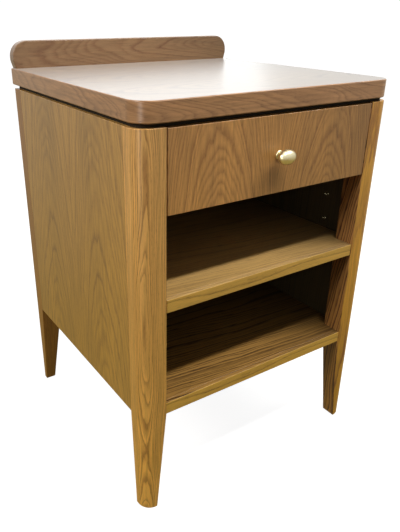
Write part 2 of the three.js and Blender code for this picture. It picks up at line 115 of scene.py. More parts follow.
def length_setting(name, description, default):
    return FloatProperty(
        name=name, description=description, default=default, min=0.0, unit="LENGTH", precision=5
    )


def colour_setting(name, description, default):
    return FloatVectorProperty(
        name=name, description=description, default=default, size=3, min=0.0, max=1.0, subtype="COLOR"
    )


def share_setting(name, description, default):
    return FloatProperty(
        name=name, description=description, default=default, min=0.0, max=1.0, subtype="FACTOR"
    )


def power_setting(name, description, default):
    return FloatProperty(name=name, description=description, default=default, unit="POWER")


class CabinetJoinery(bpy.types.PropertyGroup):
    """How the boards' edges are finished."""

    top_corner: length_setting("Top corner", "Radius of the top's front corners in plan", 0.033)
    top_ease: length_setting("Top edge", "Rounding along the edges of the top", 0.002)
    upstand_corner: length_setting("Upstand corner", "Radius of the upstand's upper corners", 0.029)
    upstand_ease: length_setting("Upstand edge", "Rounding along the upstand's edges", 0.002)
    leg_corner: length_setting("Leg corner", "Radius of each front leg's outer corner", 0.024)
    leg_ease: length_setting("Leg edge", "Rounding of the legs' other edges", 0.0012)
    board_ease: length_setting("Board edge", "Rounding along the edges of panels and shelves", 0.0008)
    box_ease: length_setting("Drawer box edge", "Rounding along the edges of the drawer box", 0.001)


class CabinetFinish(bpy.types.PropertyGroup):
    """Colours and gloss of the wood and the metal."""

    ring_spacing: length_setting("Ring spacing", "Mean width of a growth ring in the oak", 0.0042)
    panel: colour_setting("Panel oak", "Lacquered veneer of the sides", shade(178, 138, 79))
    panel_line: colour_setting("Panel line", "Growth lines in the sides", shade(138, 98, 52))
    front: colour_setting("Drawer front oak", "Veneer of the drawer front", shade(186, 138, 85))
    front_line: colour_setting("Drawer front line", "Growth lines of the front", shade(128, 84, 46))
    leg: colour_setting("Leg oak", "Solid oak of the legs", shade(226, 176, 110))
    leg_right: colour_setting("Right leg oak", "More golden oak of the right front leg", shade(198, 147, 66))
    leg_rear: colour_setting("Rear leg oak", "Darker oak of the rear legs", shade(142, 102, 48))
    leg_inner: colour_setting("Leg inside", "Bold-lined inner face of the right leg", shade(176, 128, 86))
    leg_inner_line: colour_setting("Leg inside line", "Growth lines of that face", shade(84, 52, 32))
    leg_line: colour_setting("Leg line", "Growth lines in the legs", shade(140, 84, 42))
    top: colour_setting("Top oak", "Darker oak of the top", shade(130, 102, 76))
    top_face: colour_setting("Top veneer", "Veneer on the face of the top", shade(150, 124, 92))
    top_edge: colour_setting("Top edge oak", "Oak along the edges of the top", shade(172, 129, 93))
    top_line: colour_setting("Top line", "Growth lines in the top", shade(104, 66, 42))
    shelf: colour_setting("Shelf oak", "Veneer of the shelves", shade(182, 150, 110))
    shelf_line: colour_setting("Shelf line", "Growth lines in the shelves", shade(104, 72, 40))
    lipping: colour_setting("Lipping oak", "Light solid strip on a shelf's edge", shade(214, 172, 96))
    lipping_line: colour_setting("Lipping line", "Growth lines in the lipping", shade(176, 128, 60))
    # A dark finish for the inner faces and the back board: painted shade for the inside of the carcass.
    inside: colour_setting("Inside", "Dark back board", shade(72, 62, 40))
    stain: colour_setting("Stain", "Dark strip in the shadow gap", shade(34, 28, 19))
    birch: colour_setting("Birch", "Plywood of the drawer box", shade(206, 176, 130))
    birch_line: colour_setting("Birch line", "Growth lines and crossed layers", shade(168, 132, 88))
    pine: colour_setting("Pine", "Hidden rails and battens", shade(196, 158, 104))
    brass: colour_setting("Brass", "Polished brass of knob and sleeves", shade(216, 206, 170))
    zinc: colour_setting("Zinc", "Plated steel of runners, brackets and screws", shade(196, 200, 204))
    satin: share_setting("Satin", "Roughness of the lacquer on sides, front and legs", 0.36)
    polish: share_setting("Polish", "Roughness of the lacquer on the top", 0.2)


class CabinetStage(bpy.types.PropertyGroup):
    """Floor, lights and camera."""

    floor: colour_setting("Floor", "Colour of the plain floor", (0.9, 0.9, 0.9))
    below: colour_setting("Floor light", "Light that comes up from the floor", (0.4, 0.31, 0.11))
    key: power_setting("Key light", "Power of the lamp above the front", 68.0)
    side: power_setting("Side light", "Power of the lamp on the left", 33.0)
    back: power_setting("Back light", "Power of the lamp behind", 20.0)
    shine: power_setting("Shine", "Power of the lamp that only the gloss shows", 8.5)
    glint: power_setting("Glint", "Power of the low lamp that only the gloss shows", 8.0)
    ambient: FloatProperty(name="Ambient", description="Light from the room on dull surfaces", default=0.07)
    lens: FloatProperty(name="Lens", description="Focal length in millimetres", default=37.83)


# ---- Outlines ----


LARGE_RADIUS = 5 * MM
SHARPEST_MITRE = 0.3


def filleted(corners, steps=4):
    """A closed outline from (x, y, radius) corners, anticlockwise, with an arc at each radius."""
    points = []
    count = len(corners)
    for i, (x, y, radius) in enumerate(corners):
        here = Vector((x, y))
        if radius <= 0:
            points.append(here)
            continue
        before = (Vector(corners[i - 1][:2]) - here).normalized()
        after = (Vector(corners[(i + 1) % count][:2]) - here).normalized()
        half = before.angle(after) / 2
        reach = radius / math.tan(half)
        centre = here + (before + after).normalized() * (radius / math.sin(half))
        start = here + before * reach - centre
        turn = start.angle_signed(here + after * reach - centre)
        arc_steps = steps if radius < LARGE_RADIUS else 4 * steps
        for k in range(arc_steps + 1):
            # angle_signed counts clockwise, so the arc is swept with the opposite sign.
            points.append(centre + Matrix.Rotation(-turn * k / arc_steps, 2) @ start)
    return points


def rectangle(x0, x1, y0, y1, radius=0.0):
    return [(x0, y0, radius), (x1, y0, radius), (x1, y1, radius), (x0, y1, radius)]


def inset(outline, distance):
    """The outline moved inwards by a distance, with each corner kept on its bisector."""
    moved = []
    count = len(outline)
    for i, point in enumerate(outline):
        before = (point - outline[i - 1]).normalized()
        after = (outline[(i + 1) % count] - point).normalized()
        inward = Vector((-before.y - after.y, before.x + after.x))
        if inward.length < SAME_WAY:
            inward = Vector((-before.y, before.x))
        inward.normalize()
        across = Vector((-before.y, before.x))
        moved.append(point + inward * (distance / max(inward.dot(across), SHARPEST_MITRE)))
    return moved


def rounded_edge(start, ease, steps=4):
    """(height, inset) pairs up a quarter round that begins at a height."""
    levels = []
    for k in range(steps + 1):
        turn = math.pi / 2 * k / steps
        levels.append((start + ease * (1 - math.cos(turn)), ease * (1 - math.sin(turn))))
    return levels


def eased_levels(start, end, ease):
    """(height, inset) pairs for a board whose two faces have rounded edges."""
    if ease <= 0:
        return [(start, 0.0), (end, 0.0)]
    levels = rounded_edge(start, ease)
    return levels + [(start + end - height, gap) for height, gap in reversed(levels)]


# ---- Meshes ----

AXES = {
    "X": lambda u, v, w: (w, u, v),
    "Y": lambda u, v, w: (u, w, v),
    "Z": lambda u, v, w: (u, v, w),
}


def new_object(name, mesh):
    piece = bpy.data.objects.new(name, mesh)
    bpy.context.scene.collection.objects.link(piece)
    return piece


def as_object(name, shape):
    """Turns a finished shape into an object, smooth and with its faces pointing out."""
    bmesh.ops.recalc_face_normals(shape, faces=shape.faces)
    for face in shape.faces:
        face.smooth = True
    mesh = bpy.data.meshes.new(name)
    shape.to_mesh(mesh)
    shape.free()
    return new_object(name, mesh)


def distances_along(points):
    """How far each point is from the first, measured from point to point."""
    reached = [0.0]
    for a, b in zip(points, points[1:]):
        reached.append(reached[-1] + (b - a).length)
    return reached


def skin(name, loops):
    """A closed skin over loops of 3D points, with a UV map of way round and way along."""
    shape = bmesh.new()
    uv = shape.loops.layers.uv.new("Run")
    rings = [[shape.verts.new(p) for p in loop] for loop in loops]
    count = len(rings[0])
    ways = distances_along(loops[0] + loops[0][:1])
    heights = distances_along([loop[0] for loop in loops])
    for k in range(len(rings) - 1):
        for i in range(count):
            j = (i + 1) % count
            face = shape.faces.new((rings[k][i], rings[k][j], rings[k + 1][j], rings[k + 1][i]))
            corners = ((i, k), (i + 1, k), (i + 1, k + 1), (i, k + 1))
            for loop, (way, rise) in zip(face.loops, corners):
                loop[uv].uv = (ways[way], heights[rise])
    shape.faces.new(list(reversed(rings[0])))
    shape.faces.new(rings[-1])
    return as_object(name, shape)


def keep_faces_flat(piece):
    """Large faces keep their own normals, and only the rounded edges shade from one to the next."""
    finish = piece.modifiers.new("flat_faces", "WEIGHTED_NORMAL")
    finish.keep_sharp = False
    finish.weight = 100
    return piece


def board(name, corners, axis, start, end, ease):
    """A board drawn as an outline across an axis, with every edge rounded."""
    outline = filleted(corners)
    place = AXES[axis]
    loops = [
        [Vector(place(p.x, p.y, height)) for p in inset(outline, gap)]
        for height, gap in eased_levels(start, end, ease)
    ]
    return keep_faces_flat(skin(name, loops))


def box_board(name, node, ease, axis="Z"):
    """A plain rectangular board that fills its solid's box, with every edge rounded."""
    lowest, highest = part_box(node)
    a, b = {"X": (1, 2), "Y": (0, 2), "Z": (0, 1)}[axis]
    c = 3 - a - b
    corners = rectangle(lowest[a], highest[a], lowest[b], highest[b], ease)
    return board(name, corners, axis, lowest[c], highest[c], ease)


def carve(piece, cutters):
    """Cuts other objects out of a piece and deletes them."""
    eased = len(piece.modifiers) > 0
    piece.modifiers.clear()
    for cutter in reversed(cutters):
        cut = piece.modifiers.new("cut", "BOOLEAN")
        cut.object = cutter
        cut.solver = "EXACT"
    settle(piece)
    for cutter in cutters:
        bpy.data.objects.remove(cutter)
    return keep_faces_flat(piece) if eased else piece


def settle(piece):
    """Applies a piece's modifiers to its mesh."""
    bpy.context.view_layer.update()
    ready = piece.evaluated_get(bpy.context.evaluated_depsgraph_get())
    mesh = bpy.data.meshes.new_from_object(ready)
    piece.modifiers.clear()
    old = piece.data
    piece.data = mesh
    bpy.data.meshes.remove(old)
    return piece


def turned(name, profile, place, along, steps=48, widen=1.0):
    """A solid turned from (radius, distance along) points about an axis through a place.

    widen stretches the section to one side of the axis, so that a round profile can become an oval.
    """
    along = Vector(along).normalized()
    across = Vector((1, 0, 0)) if abs(along.x) < 0.5 else along.orthogonal().normalized()
    third = along.cross(across)
    shape = bmesh.new()
    rings = []
    for radius, distance in profile:
        centre = Vector(place) + along * distance
        if radius < SAME_POINT:
            rings.append([shape.verts.new(centre)])
            continue
        ring = []
        for k in range(steps):
            turn = 2 * math.pi * k / steps
            offset = across * (radius * widen * math.cos(turn)) + third * (radius * math.sin(turn))
            ring.append(shape.verts.new(centre + offset))
        rings.append(ring)
    for a, b in zip(rings, rings[1:]):
        for k in range(steps):
            j = (k + 1) % steps
            corners = [a[k % len(a)], a[j % len(a)], b[j % len(b)], b[k % len(b)]]
            corners = [vert for i, vert in enumerate(corners) if vert not in corners[:i]]
            if len(corners) > 2:
                shape.faces.new(corners)
    bmesh.ops.remove_doubles(shape, verts=shape.verts, dist=SAME_POINT)
    return as_object(name, shape)


def finish_piece(piece, material, body, slot, *nodes):
    """Gives a piece its material, its body and the solids that it stands for."""
    if material is not None:
        piece.data.materials.clear()
        piece.data.materials.append(material)
    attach(piece, body)
    if nodes:
        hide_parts(*nodes)
    return piece


def refinish(piece, material, way):
    """Gives the faces that look a given way a finish of their own."""
    way = Vector(way)
    piece.data.materials.append(material)
    index = len(piece.data.materials) - 1
    for polygon in piece.data.polygons:
        if polygon.normal.dot(way) > NEARLY_THAT_WAY:
            polygon.material_index = index


def finish_node(node, material):
    """Gives a solid that stays as it is its finished material."""
    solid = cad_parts[node]
    if not solid.material_slots:
        solid.data.materials.append(material)
    for slot in solid.material_slots:
        slot.material = material


# ---- Node graphs ----


class Graph:
    """Adds nodes to a tree, each with its sources and settings in one call."""

    def __init__(self, tree):
        self.tree = tree

    def node(self, kind, sources=None, **settings):
        made = self.tree.nodes.new(kind)
        for name, value in settings.items():
            setattr(made, name, value)
        for socket, source in (sources or {}).items():
            self.feed(made.inputs[socket], source)
        return made

    def feed(self, socket, source):
        if isinstance(source, bpy.types.NodeSocket):
            self.tree.links.new(source, socket)
        else:
            socket.default_value = source

    def math(self, operation, *values):
        made = self.node("ShaderNodeMath", operation=operation)
        for socket, value in zip(made.inputs, values):
            self.feed(socket, value)
        return made.outputs[0]

    def vector_math(self, operation, sources):
        return self.node("ShaderNodeVectorMath", sources, operation=operation).outputs[0]

    def scaled(self, vector, factors):
        return self.vector_math("MULTIPLY", {0: vector, 1: factors})

    def brightened(self, colour, level):
        return self.vector_math("SCALE", {0: colour, "Scale": level})

    def split(self, vector):
        return self.node("ShaderNodeSeparateXYZ", {0: vector}).outputs

    def combined(self, sources):
        return self.node("ShaderNodeCombineXYZ", sources).outputs[0]

    def between(self, value, start, end, first=0.0, last=1.0):
        """Goes from first to last as the value goes from start to end, and stays there."""
        ends = {"From Min": start, "From Max": end, "To Min": first, "To Max": last}
        return self.node("ShaderNodeMapRange", {"Value": value, **ends}).outputs[0]

    def clouds(self, vector, factors, detail):
        """A noise node with so many waves to the metre along each axis."""
        sources = {"Vector": self.scaled(vector, factors), "Scale": 1.0, "Detail": detail}
        return self.node("ShaderNodeTexNoise", sources).outputs

    def noise(self, vector, factors, detail):
        """Smooth noise from 0 to 1, with so many waves to the metre along each axis."""
        return self.clouds(vector, factors, detail)["Fac"]

    def wander(self, value, rate, detail):
        """Smooth noise from 0 to 1 along a single value."""
        sources = {"W": self.math("MULTIPLY", value, rate), "Scale": 1.0, "Detail": detail}
        return self.node("ShaderNodeTexNoise", sources, noise_dimensions="1D").outputs["Fac"]

    def ramp(self, value, stops):
        made = self.node("ShaderNodeValToRGB", {"Fac": value})
        points = made.color_ramp.elements
        while len(points) < len(stops):
            points.new(0.5)
        for point, (position, level) in zip(points, stops):
            point.position = position
            point.color = (level, level, level, 1.0)
        return made.outputs["Color"]

    def mix(self, share, first, second):
        made = self.node("ShaderNodeMix", {"Factor": share, 6: first, 7: second}, data_type="RGBA")
        return made.outputs[2]


def new_tree(name, kind, inputs, outputs):
    """A tree with (name, type) or (name, type, default) sockets, its graph, its inputs and its results."""
    tree = bpy.data.node_groups.new(name, kind)
    for way, sockets in (("INPUT", inputs), ("OUTPUT", outputs)):
        for label, form, *default in sockets:
            made = tree.interface.new_socket(label, in_out=way, socket_type=f"NodeSocket{form}")
            if default:
                made.default_value = default[0]
    graph = Graph(tree)
    return tree, graph, graph.node("NodeGroupInput").outputs, graph.node("NodeGroupOutput").inputs


def shared(store, name, make):
    """The tree or material of that name, made the first time that it's asked for."""
    return store.get(name) or make(name)


def new_material(name):
    material = bpy.data.materials.new(name)
    material.use_nodes = True
    return material, Graph(material.node_tree), material.node_tree.nodes["Principled BSDF"].inputs


def set_shader(material, values):
    """Sets what is the same all over a surface, on the shader's own sockets."""
    inputs = material.node_tree.nodes["Principled BSDF"].inputs
    for name, value in values.items():
        inputs[name].default_value = value


# ---- Wood and metal ----

# Waves of noise to the metre, across the grain twice and along it once.
SLOW_BENDS = (8, 8, 1.9)
QUICK_BENDS = (34, 34, 9)
RAGGED_LINES = (150, 150, 16)
STREAKS = (260, 260, 9)
FIBRES = (1000, 1000, 24)
PORES = (2200, 2200, 110)
TONES = (7, 7, 1.4)
WARM_PATCHES = (16, 16, 2.6)

# How dark a growth ring is from one line to the next, crisp and blurred, and which noise is an open pore.
CRISP_RING = [(0.0, 1.0), (0.1, 0.9), (0.32, 0.42), (0.6, 0.14), (0.84, 0.0), (0.95, 0.35), (1.0, 1.0)]
SOFT_RING = [(0.0, 0.8), (0.25, 0.5), (0.5, 0.1), (0.62, 0.0), (0.8, 0.35), (1.0, 0.8)]
OPEN_PORES = [(0.0, 0.0), (0.56, 0.0), (0.68, 1.0)]

# The warm tint for random patches and for painted floor bounce, and the heights where that bounce is full
# and gone.
PATCH_AND_BOUNCE_TINT = (1.26, 1.2, 0.64)
PAINTED_BOUNCE_FULL_BELOW = 0.1
PAINTED_BOUNCE_GONE_ABOVE = 0.7

# How unevenly the rings are spaced, how often that changes, and how ragged and how bold their lines are.
RING_CROWDING = 2.4
CROWDING_RATE = 0.31
LINE_RAGGEDNESS = 0.9
BOLDNESS_RATE = 0.9
BOLDNESS = 1.5
FAINTEST_LINE = 0.25

# The share of the pores that lies in the lines, and the share of the warm tint that comes in patches.
PORES_IN_LINES = 0.75
WARM_IN_PATCHES = 0.4
# How much of the warm tint the painted floor bounce gives at the floor itself.
PAINTED_BOUNCE_AT_FLOOR = 0.8

# How much the quick bends of the grain are smaller than the slow ones.
QUICK_BEND_SHARE = 0.16

# How deep each part of the figure goes into the colour, and how far along the log the next leaf is cut.
TONE_DEPTH = 0.8
FIBRE_DEPTH = 0.44
PORE_DEPTH = 0.48
PLY_DEPTH = 0.6
LEAF_LIFT = 0.021

# Waves of noise to the metre on metal: the haze of handling, and fine scratches along Y.
HAZE = (90, 90, 90)
SCRATCHES = (4000, 120, 4000)
HAZE_DEPTH = 0.16
HAZE_WEAR = 0.14

# The turn that brings a log's grain from Z to each axis.
TURNS = {"Z": (0.0, 0.0, 0.0), "X": (0.0, math.pi / 2, 0.0), "Y": (-math.pi / 2, 0.0, 0.0)}


def wavered(graph, position, amount):
    """The position, wandering slowly along the grain so that the rings bend and break as in a real log."""
    bends = [
        (graph.clouds(position, SLOW_BENDS, 2.0), 1.0),
        (graph.clouds(position, QUICK_BENDS, 1.0), QUICK_BEND_SHARE),
    ]
    for clouds, share in bends:
        centred = graph.vector_math("SUBTRACT", {0: clouds["Color"], 1: (0.5, 0.5, 0.5)})
        shift = graph.brightened(centred, graph.math("MULTIPLY", amount, share))
        position = graph.vector_math("ADD", {0: position, 1: shift})
    return position


def ring_phase(graph, moved, position, given):
    """How many growth rings a point is from the heart, unevenly spaced and with ragged lines."""
    parts = graph.split(moved)
    across = graph.math("MULTIPLY_ADD", parts["Z"], given["Lean across"], parts["X"])
    inward = graph.math("MULTIPLY_ADD", parts["Z"], given["Lean in"], parts["Y"])
    squares = [graph.math("MULTIPLY", value, value) for value in (across, inward)]
    radius = graph.math("SQRT", graph.math("ADD", *squares))
    count = graph.math("DIVIDE", radius, given["Ring spacing"])
    uneven = graph.wander(count, CROWDING_RATE, detail=1.0)
    phase = graph.math("MULTIPLY_ADD", uneven, RING_CROWDING, count)
    return graph.math("MULTIPLY_ADD", graph.noise(position, RAGGED_LINES, 3.0), LINE_RAGGEDNESS, phase)


def oak_figure(name):
    """The rings, fibres and pores of oak whose grain runs along Z and whose heart is at the origin."""
    numbers = {"Ring spacing": 0.004, "Waver": 0.02, "Softness": 0.0, "Lean across": 0.0, "Lean in": 0.0}
    results = ("Line", "Streak", "Fibre", "Pore", "Tone", "Warmth")
    inputs = [("Position", "Vector"), *((label, "Float", default) for label, default in numbers.items())]
    outputs = [(label, "Float") for label in results]
    tree, graph, given, out = new_tree(name, "ShaderNodeTree", inputs, outputs)
    position = given["Position"]
    moved = wavered(graph, position, given["Waver"])
    phase = ring_phase(graph, moved, position, given)
    ring = graph.math("FRACT", phase)
    crisp = graph.ramp(ring, CRISP_RING)
    soft = graph.ramp(ring, SOFT_RING)
    blurring = {0: given["Softness"], 2: crisp, 3: soft}
    line = graph.node("ShaderNodeMix", blurring, data_type="FLOAT").outputs[0]
    bold = graph.wander(phase, BOLDNESS_RATE, detail=0.0)
    line = graph.math("MULTIPLY", line, graph.math("MULTIPLY_ADD", bold, BOLDNESS, FAINTEST_LINE))
    pore = graph.ramp(graph.noise(position, PORES, 1.0), OPEN_PORES)
    crowd = graph.math("MULTIPLY_ADD", line, PORES_IN_LINES, 1.0 - PORES_IN_LINES)
    graph.feed(out["Line"], line)
    graph.feed(out["Streak"], graph.noise(moved, STREAKS, 5.0))
    graph.feed(out["Fibre"], graph.noise(position, FIBRES, 3.0))
    graph.feed(out["Pore"], graph.math("MULTIPLY", pore, crowd))
    graph.feed(out["Tone"], graph.noise(position, TONES, 2.0))
    graph.feed(out["Warmth"], graph.noise(position, WARM_PATCHES, 2.0))
    return tree


def in_leaves(graph, position, axis, width, start):
    """The position in veneer laid in mirrored leaves, each a little further along the log than the last."""
    parts = graph.split(position)
    along = graph.math("SUBTRACT", parts[axis], start)
    folded = graph.math("SUBTRACT", graph.math("PINGPONG", along, width), width / 2)
    number = graph.math("FLOOR", graph.math("DIVIDE", along, width))
    lifted = graph.math("MULTIPLY_ADD", number, LEAF_LIFT, parts["Z"])
    return graph.combined({"X": parts["X"], "Y": parts["Y"], "Z": lifted, axis: folded})


def in_log(graph, coordinates, heart, grain, by_run):
    """Where a point lies in its log: across the heart in X and Y, and along the grain in Z."""
    if by_run:
        run = graph.split(coordinates["UV"])
        return graph.combined({"X": run["Y"], "Y": heart[1], "Z": run["X"]})
    sources = {"Vector": coordinates["Object"], "Location": heart, "Rotation": TURNS[grain]}
    return graph.node("ShaderNodeMapping", sources, vector_type="TEXTURE").outputs[0]


def wood_colour(graph, parts, figure, light, dark, contrast, plies):
    """The ground, with warm patches and painted floor bounce low down, its growth lines, and under them the
    crossed layers of plywood.
    """
    # Painted warm light bounced up from the floor: the lower the wood, the more of the warm tint.
    painted_floor_bounce = graph.between(parts["Z"], PAINTED_BOUNCE_GONE_ABOVE, PAINTED_BOUNCE_FULL_BELOW, last=PAINTED_BOUNCE_AT_FLOOR)
    share = graph.math("MULTIPLY_ADD", figure["Warmth"], WARM_IN_PATCHES, painted_floor_bounce)
    ground = graph.mix(share, (*light, 1.0), (*tinted(light, PATCH_AND_BOUNCE_TINT), 1.0))
    colour = graph.mix(graph.math("MULTIPLY", figure["Line"], contrast), ground, (*dark, 1.0))
    if plies:
        axis, start, thickness = plies
        depth = graph.math("SUBTRACT", parts[axis], start)
        layer = graph.math("FLOOR", graph.math("DIVIDE", depth, thickness))
        crossed = graph.math("FLOORED_MODULO", layer, 2.0)
        colour = graph.mix(graph.math("MULTIPLY", crossed, PLY_DEPTH), colour, (*dark, 1.0))
    return colour


def wood_level(graph, parts, figure, streak, painted_shade_falls):
    """How bright the wood is, with its tone, streaks, fibres and pores, and its painted shade towards an
    end.
    """
    level = graph.math("MULTIPLY_ADD", figure["Tone"], TONE_DEPTH, 1.0 - TONE_DEPTH / 2)
    for label, amount in (("Streak", streak), ("Fibre", FIBRE_DEPTH)):
        share = graph.math("MULTIPLY_ADD", figure[label], amount, 1.0 - amount / 2)
        level = graph.math("MULTIPLY", level, share)
    level = graph.math("MULTIPLY", level, graph.math("MULTIPLY_ADD", figure["Pore"], -PORE_DEPTH, 1.0))
    # Each of these is painted shade, darkening the wood towards one end.
    for axis, start, end, amount in painted_shade_falls:
        level = graph.math("MULTIPLY", level, graph.between(parts[axis], start, end, 1.0, 1.0 - amount))
    return level


def wood(name, light, dark, heart, grain="Z", lean=(0.0, 0.0), waver=0.02, contrast=0.8, rings=1.0,
         roughness=0.36, leaf=None, by_run=False, coat=0.0, streak=0.4, softness=0.0,
         plies=None, coat_roughness=0.24, painted_shade_falls=()):
    """Lacquered wood cut from a log whose heart passes through a given point, along the grain axis.

    leaf is (axis, width, start) for veneer laid in mirrored leaves across that axis.
    by_run lets the grain follow the edge of a board, along its UV map.
    plies is (axis, start, thickness) for plywood, whose layers show along its edges.
    painted_shade_falls are (axis, start, end, amount), each painted shade that darkens the board towards one
    end.
    """
    material, graph, shader = new_material(name)
    coordinates = graph.node("ShaderNodeTexCoord").outputs
    parts = graph.split(coordinates["Object"])
    position = in_log(graph, coordinates, heart, grain, by_run)
    if leaf:
        position = in_leaves(graph, position, *leaf)
    spacing = bpy.context.scene.cabinet_finish.ring_spacing * rings
    sources = {"Position": position, "Ring spacing": spacing, "Waver": waver, "Softness": softness,
               "Lean across": lean[0], "Lean in": lean[1]}
    tree = shared(bpy.data.node_groups, "oak_figure", oak_figure)
    figure = graph.node("ShaderNodeGroup", sources, node_tree=tree).outputs
    colour = wood_colour(graph, parts, figure, light, dark, contrast, plies)
    level = wood_level(graph, parts, figure, streak, painted_shade_falls)
    graph.feed(shader["Base Color"], graph.brightened(colour, level))
    graph.feed(shader["Roughness"], graph.math("MULTIPLY_ADD", figure["Fibre"], 0.08, roughness - 0.04))
    depth = graph.math("MULTIPLY_ADD", figure["Pore"], -0.6, figure["Fibre"])
    bump = graph.node("ShaderNodeBump", {"Strength": 0.12, "Distance": 0.3 * MM, "Height": depth})
    graph.feed(shader["Normal"], bump.outputs[0])
    set_shader(material, {"Coat Weight": coat, "Coat Roughness": coat_roughness})
    return material


def metal(name, colour, roughness, brushed=0.0):
    """Plated or polished metal with faint handling marks."""
    material, graph, shader = new_material(name)
    position = graph.node("ShaderNodeTexCoord").outputs["Object"]
    haze = graph.noise(position, HAZE, 3.0)
    scratch = graph.noise(position, SCRATCHES, 2.0)
    level = graph.math("MULTIPLY_ADD", haze, HAZE_DEPTH, 1.0 - HAZE_DEPTH / 2)
    graph.feed(shader["Base Color"], graph.brightened(colour, level))
    wear = graph.math("MULTIPLY_ADD", haze, HAZE_WEAR, roughness - HAZE_WEAR / 2)
    graph.feed(shader["Roughness"], graph.math("MULTIPLY_ADD", scratch, brushed, wear))
    relief = {"Strength": 0.05 + brushed, "Distance": 0.05 * MM, "Height": scratch}
    bump = graph.node("ShaderNodeBump", relief)
    graph.feed(shader["Normal"], bump.outputs[0])
    set_shader(material, {"Metallic": 1.0})
    return material


def zinc_steel():
    zinc = bpy.context.scene.cabinet_finish.zinc
    return shared(bpy.data.materials, "zinc_steel", lambda name: metal(name, zinc, 0.3, 0.1))


def polished_brass():
    brass = bpy.context.scene.cabinet_finish.brass
    return shared(bpy.data.materials, "polished_brass", lambda name: metal(name, brass, 0.3))


def bright_brass():
    brass = bpy.context.scene.cabinet_finish.brass
    return shared(bpy.data.materials, "bright_brass", lambda name: metal(name, brass, 0.14))


# ---- Repeated fittings ----


def scatter_tree(name):
    """Copies of a fitting on a mesh's points, turned about their own axis, as one real mesh."""
    inputs = [
        ("Places", "Geometry"), ("Fitting", "Object"), ("Facing", "Vector"), ("Size", "Float", 1.0),
        ("Turn", "Float"), ("Seed", "Int"), ("Finish", "Material"),
    ]
    tree, graph, given, out = new_tree(name, "GeometryNodeTree", inputs, [("Fittings", "Geometry")])
    fitting = graph.node("GeometryNodeObjectInfo", {"Object": given["Fitting"]}).outputs["Geometry"]
    spin = graph.node("FunctionNodeRandomValue", {"Seed": given["Seed"]}, data_type="FLOAT")
    turn = graph.math("MULTIPLY", spin.outputs[1], given["Turn"])
    towards = {"Vector": given["Facing"]}
    facing = graph.node("FunctionNodeAlignRotationToVector", towards, axis="Z").outputs[0]
    own = graph.node("FunctionNodeAxisAngleToRotation", {"Axis": (0, 0, 1), "Angle": turn}).outputs[0]
    turns = {"Rotation": facing, "Rotate By": own}
    both = graph.node("FunctionNodeRotateRotation", turns, rotation_space="LOCAL").outputs[0]
    sources = {"Points": given["Places"], "Instance": fitting, "Rotation": both, "Scale": given["Size"]}
    copies = graph.node("GeometryNodeInstanceOnPoints", sources).outputs[0]
    real = graph.node("GeometryNodeRealizeInstances", {"Geometry": copies}).outputs[0]
    painted = graph.node("GeometryNodeSetMaterial", {"Geometry": real, "Material": given["Finish"]})
    graph.feed(out["Fittings"], painted.outputs[0])
    return tree


def sleeve_nodes(name):
    """The six shelf sleeves of a side, by column and then by row."""
    return [f"shelf_sleeve_{c}_{r}_{name}" for c in ("front", "rear") for r in ("low", "mid", "high")]


def set_inputs(modifier, values):
    """Sets a node modifier's inputs by the names that its tree gives them."""
    found = {item.name: item.identifier for item in modifier.node_group.interface.items_tree
             if item.item_type == "SOCKET" and item.in_out == "INPUT"}
    for name, value in values.items():
        modifier[found[name]] = value


def set_fittings(name, fitting, places, facing, finish, size=1.0, turn=0.0, seed=0):
    """One object with a copy of the fitting at each place, its own Z axis turned to the facing."""
    mesh = bpy.data.meshes.new(name)
    mesh.from_pydata([tuple(p) for p in places], [], [])
    piece = new_object(name, mesh)
    modifier = piece.modifiers.new("fittings", "NODES")
    modifier.node_group = shared(bpy.data.node_groups, "set_fittings", scatter_tree)
    set_inputs(modifier, {"Fitting": fitting, "Facing": facing, "Size": size, "Turn": turn,
                          "Seed": seed, "Finish": finish})
    return settle(piece)


def ball_row_tree(name):
    """Rows of steel balls, evenly pitched along Y."""
    inputs = [
        ("Starts", "Geometry"), ("Count", "Int", 12), ("Pitch", "Float"), ("Ball radius", "Float"),
        ("Finish", "Material"),
    ]
    tree, graph, given, out = new_tree(name, "GeometryNodeTree", inputs, [("Balls", "Geometry")])
    step = graph.combined({"X": 0.0, "Y": given["Pitch"], "Z": 0.0})
    row = graph.node("GeometryNodeMeshLine", {"Count": given["Count"], "Offset": step}, mode="OFFSET")
    sphere = {"Segments": 12, "Rings": 8, "Radius": given["Ball radius"]}
    ball = graph.node("GeometryNodeMeshUVSphere", sphere).outputs["Mesh"]
    balls = graph.node("GeometryNodeInstanceOnPoints", {"Points": row.outputs["Mesh"], "Instance": ball})
    one_row = graph.node("GeometryNodeRealizeInstances", {"Geometry": balls.outputs[0]}).outputs[0]
    rows = graph.node("GeometryNodeInstanceOnPoints", {"Points": given["Starts"], "Instance": one_row})
    real = graph.node("GeometryNodeRealizeInstances", {"Geometry": rows.outputs[0]}).outputs[0]
    smooth = graph.node("GeometryNodeSetShadeSmooth", {"Geometry": real}).outputs[0]
    painted = graph.node("GeometryNodeSetMaterial", {"Geometry": smooth, "Material": given["Finish"]})
    graph.feed(out["Balls"], painted.outputs[0])
    return tree


# ---- Top, upstand and shadow gap ----


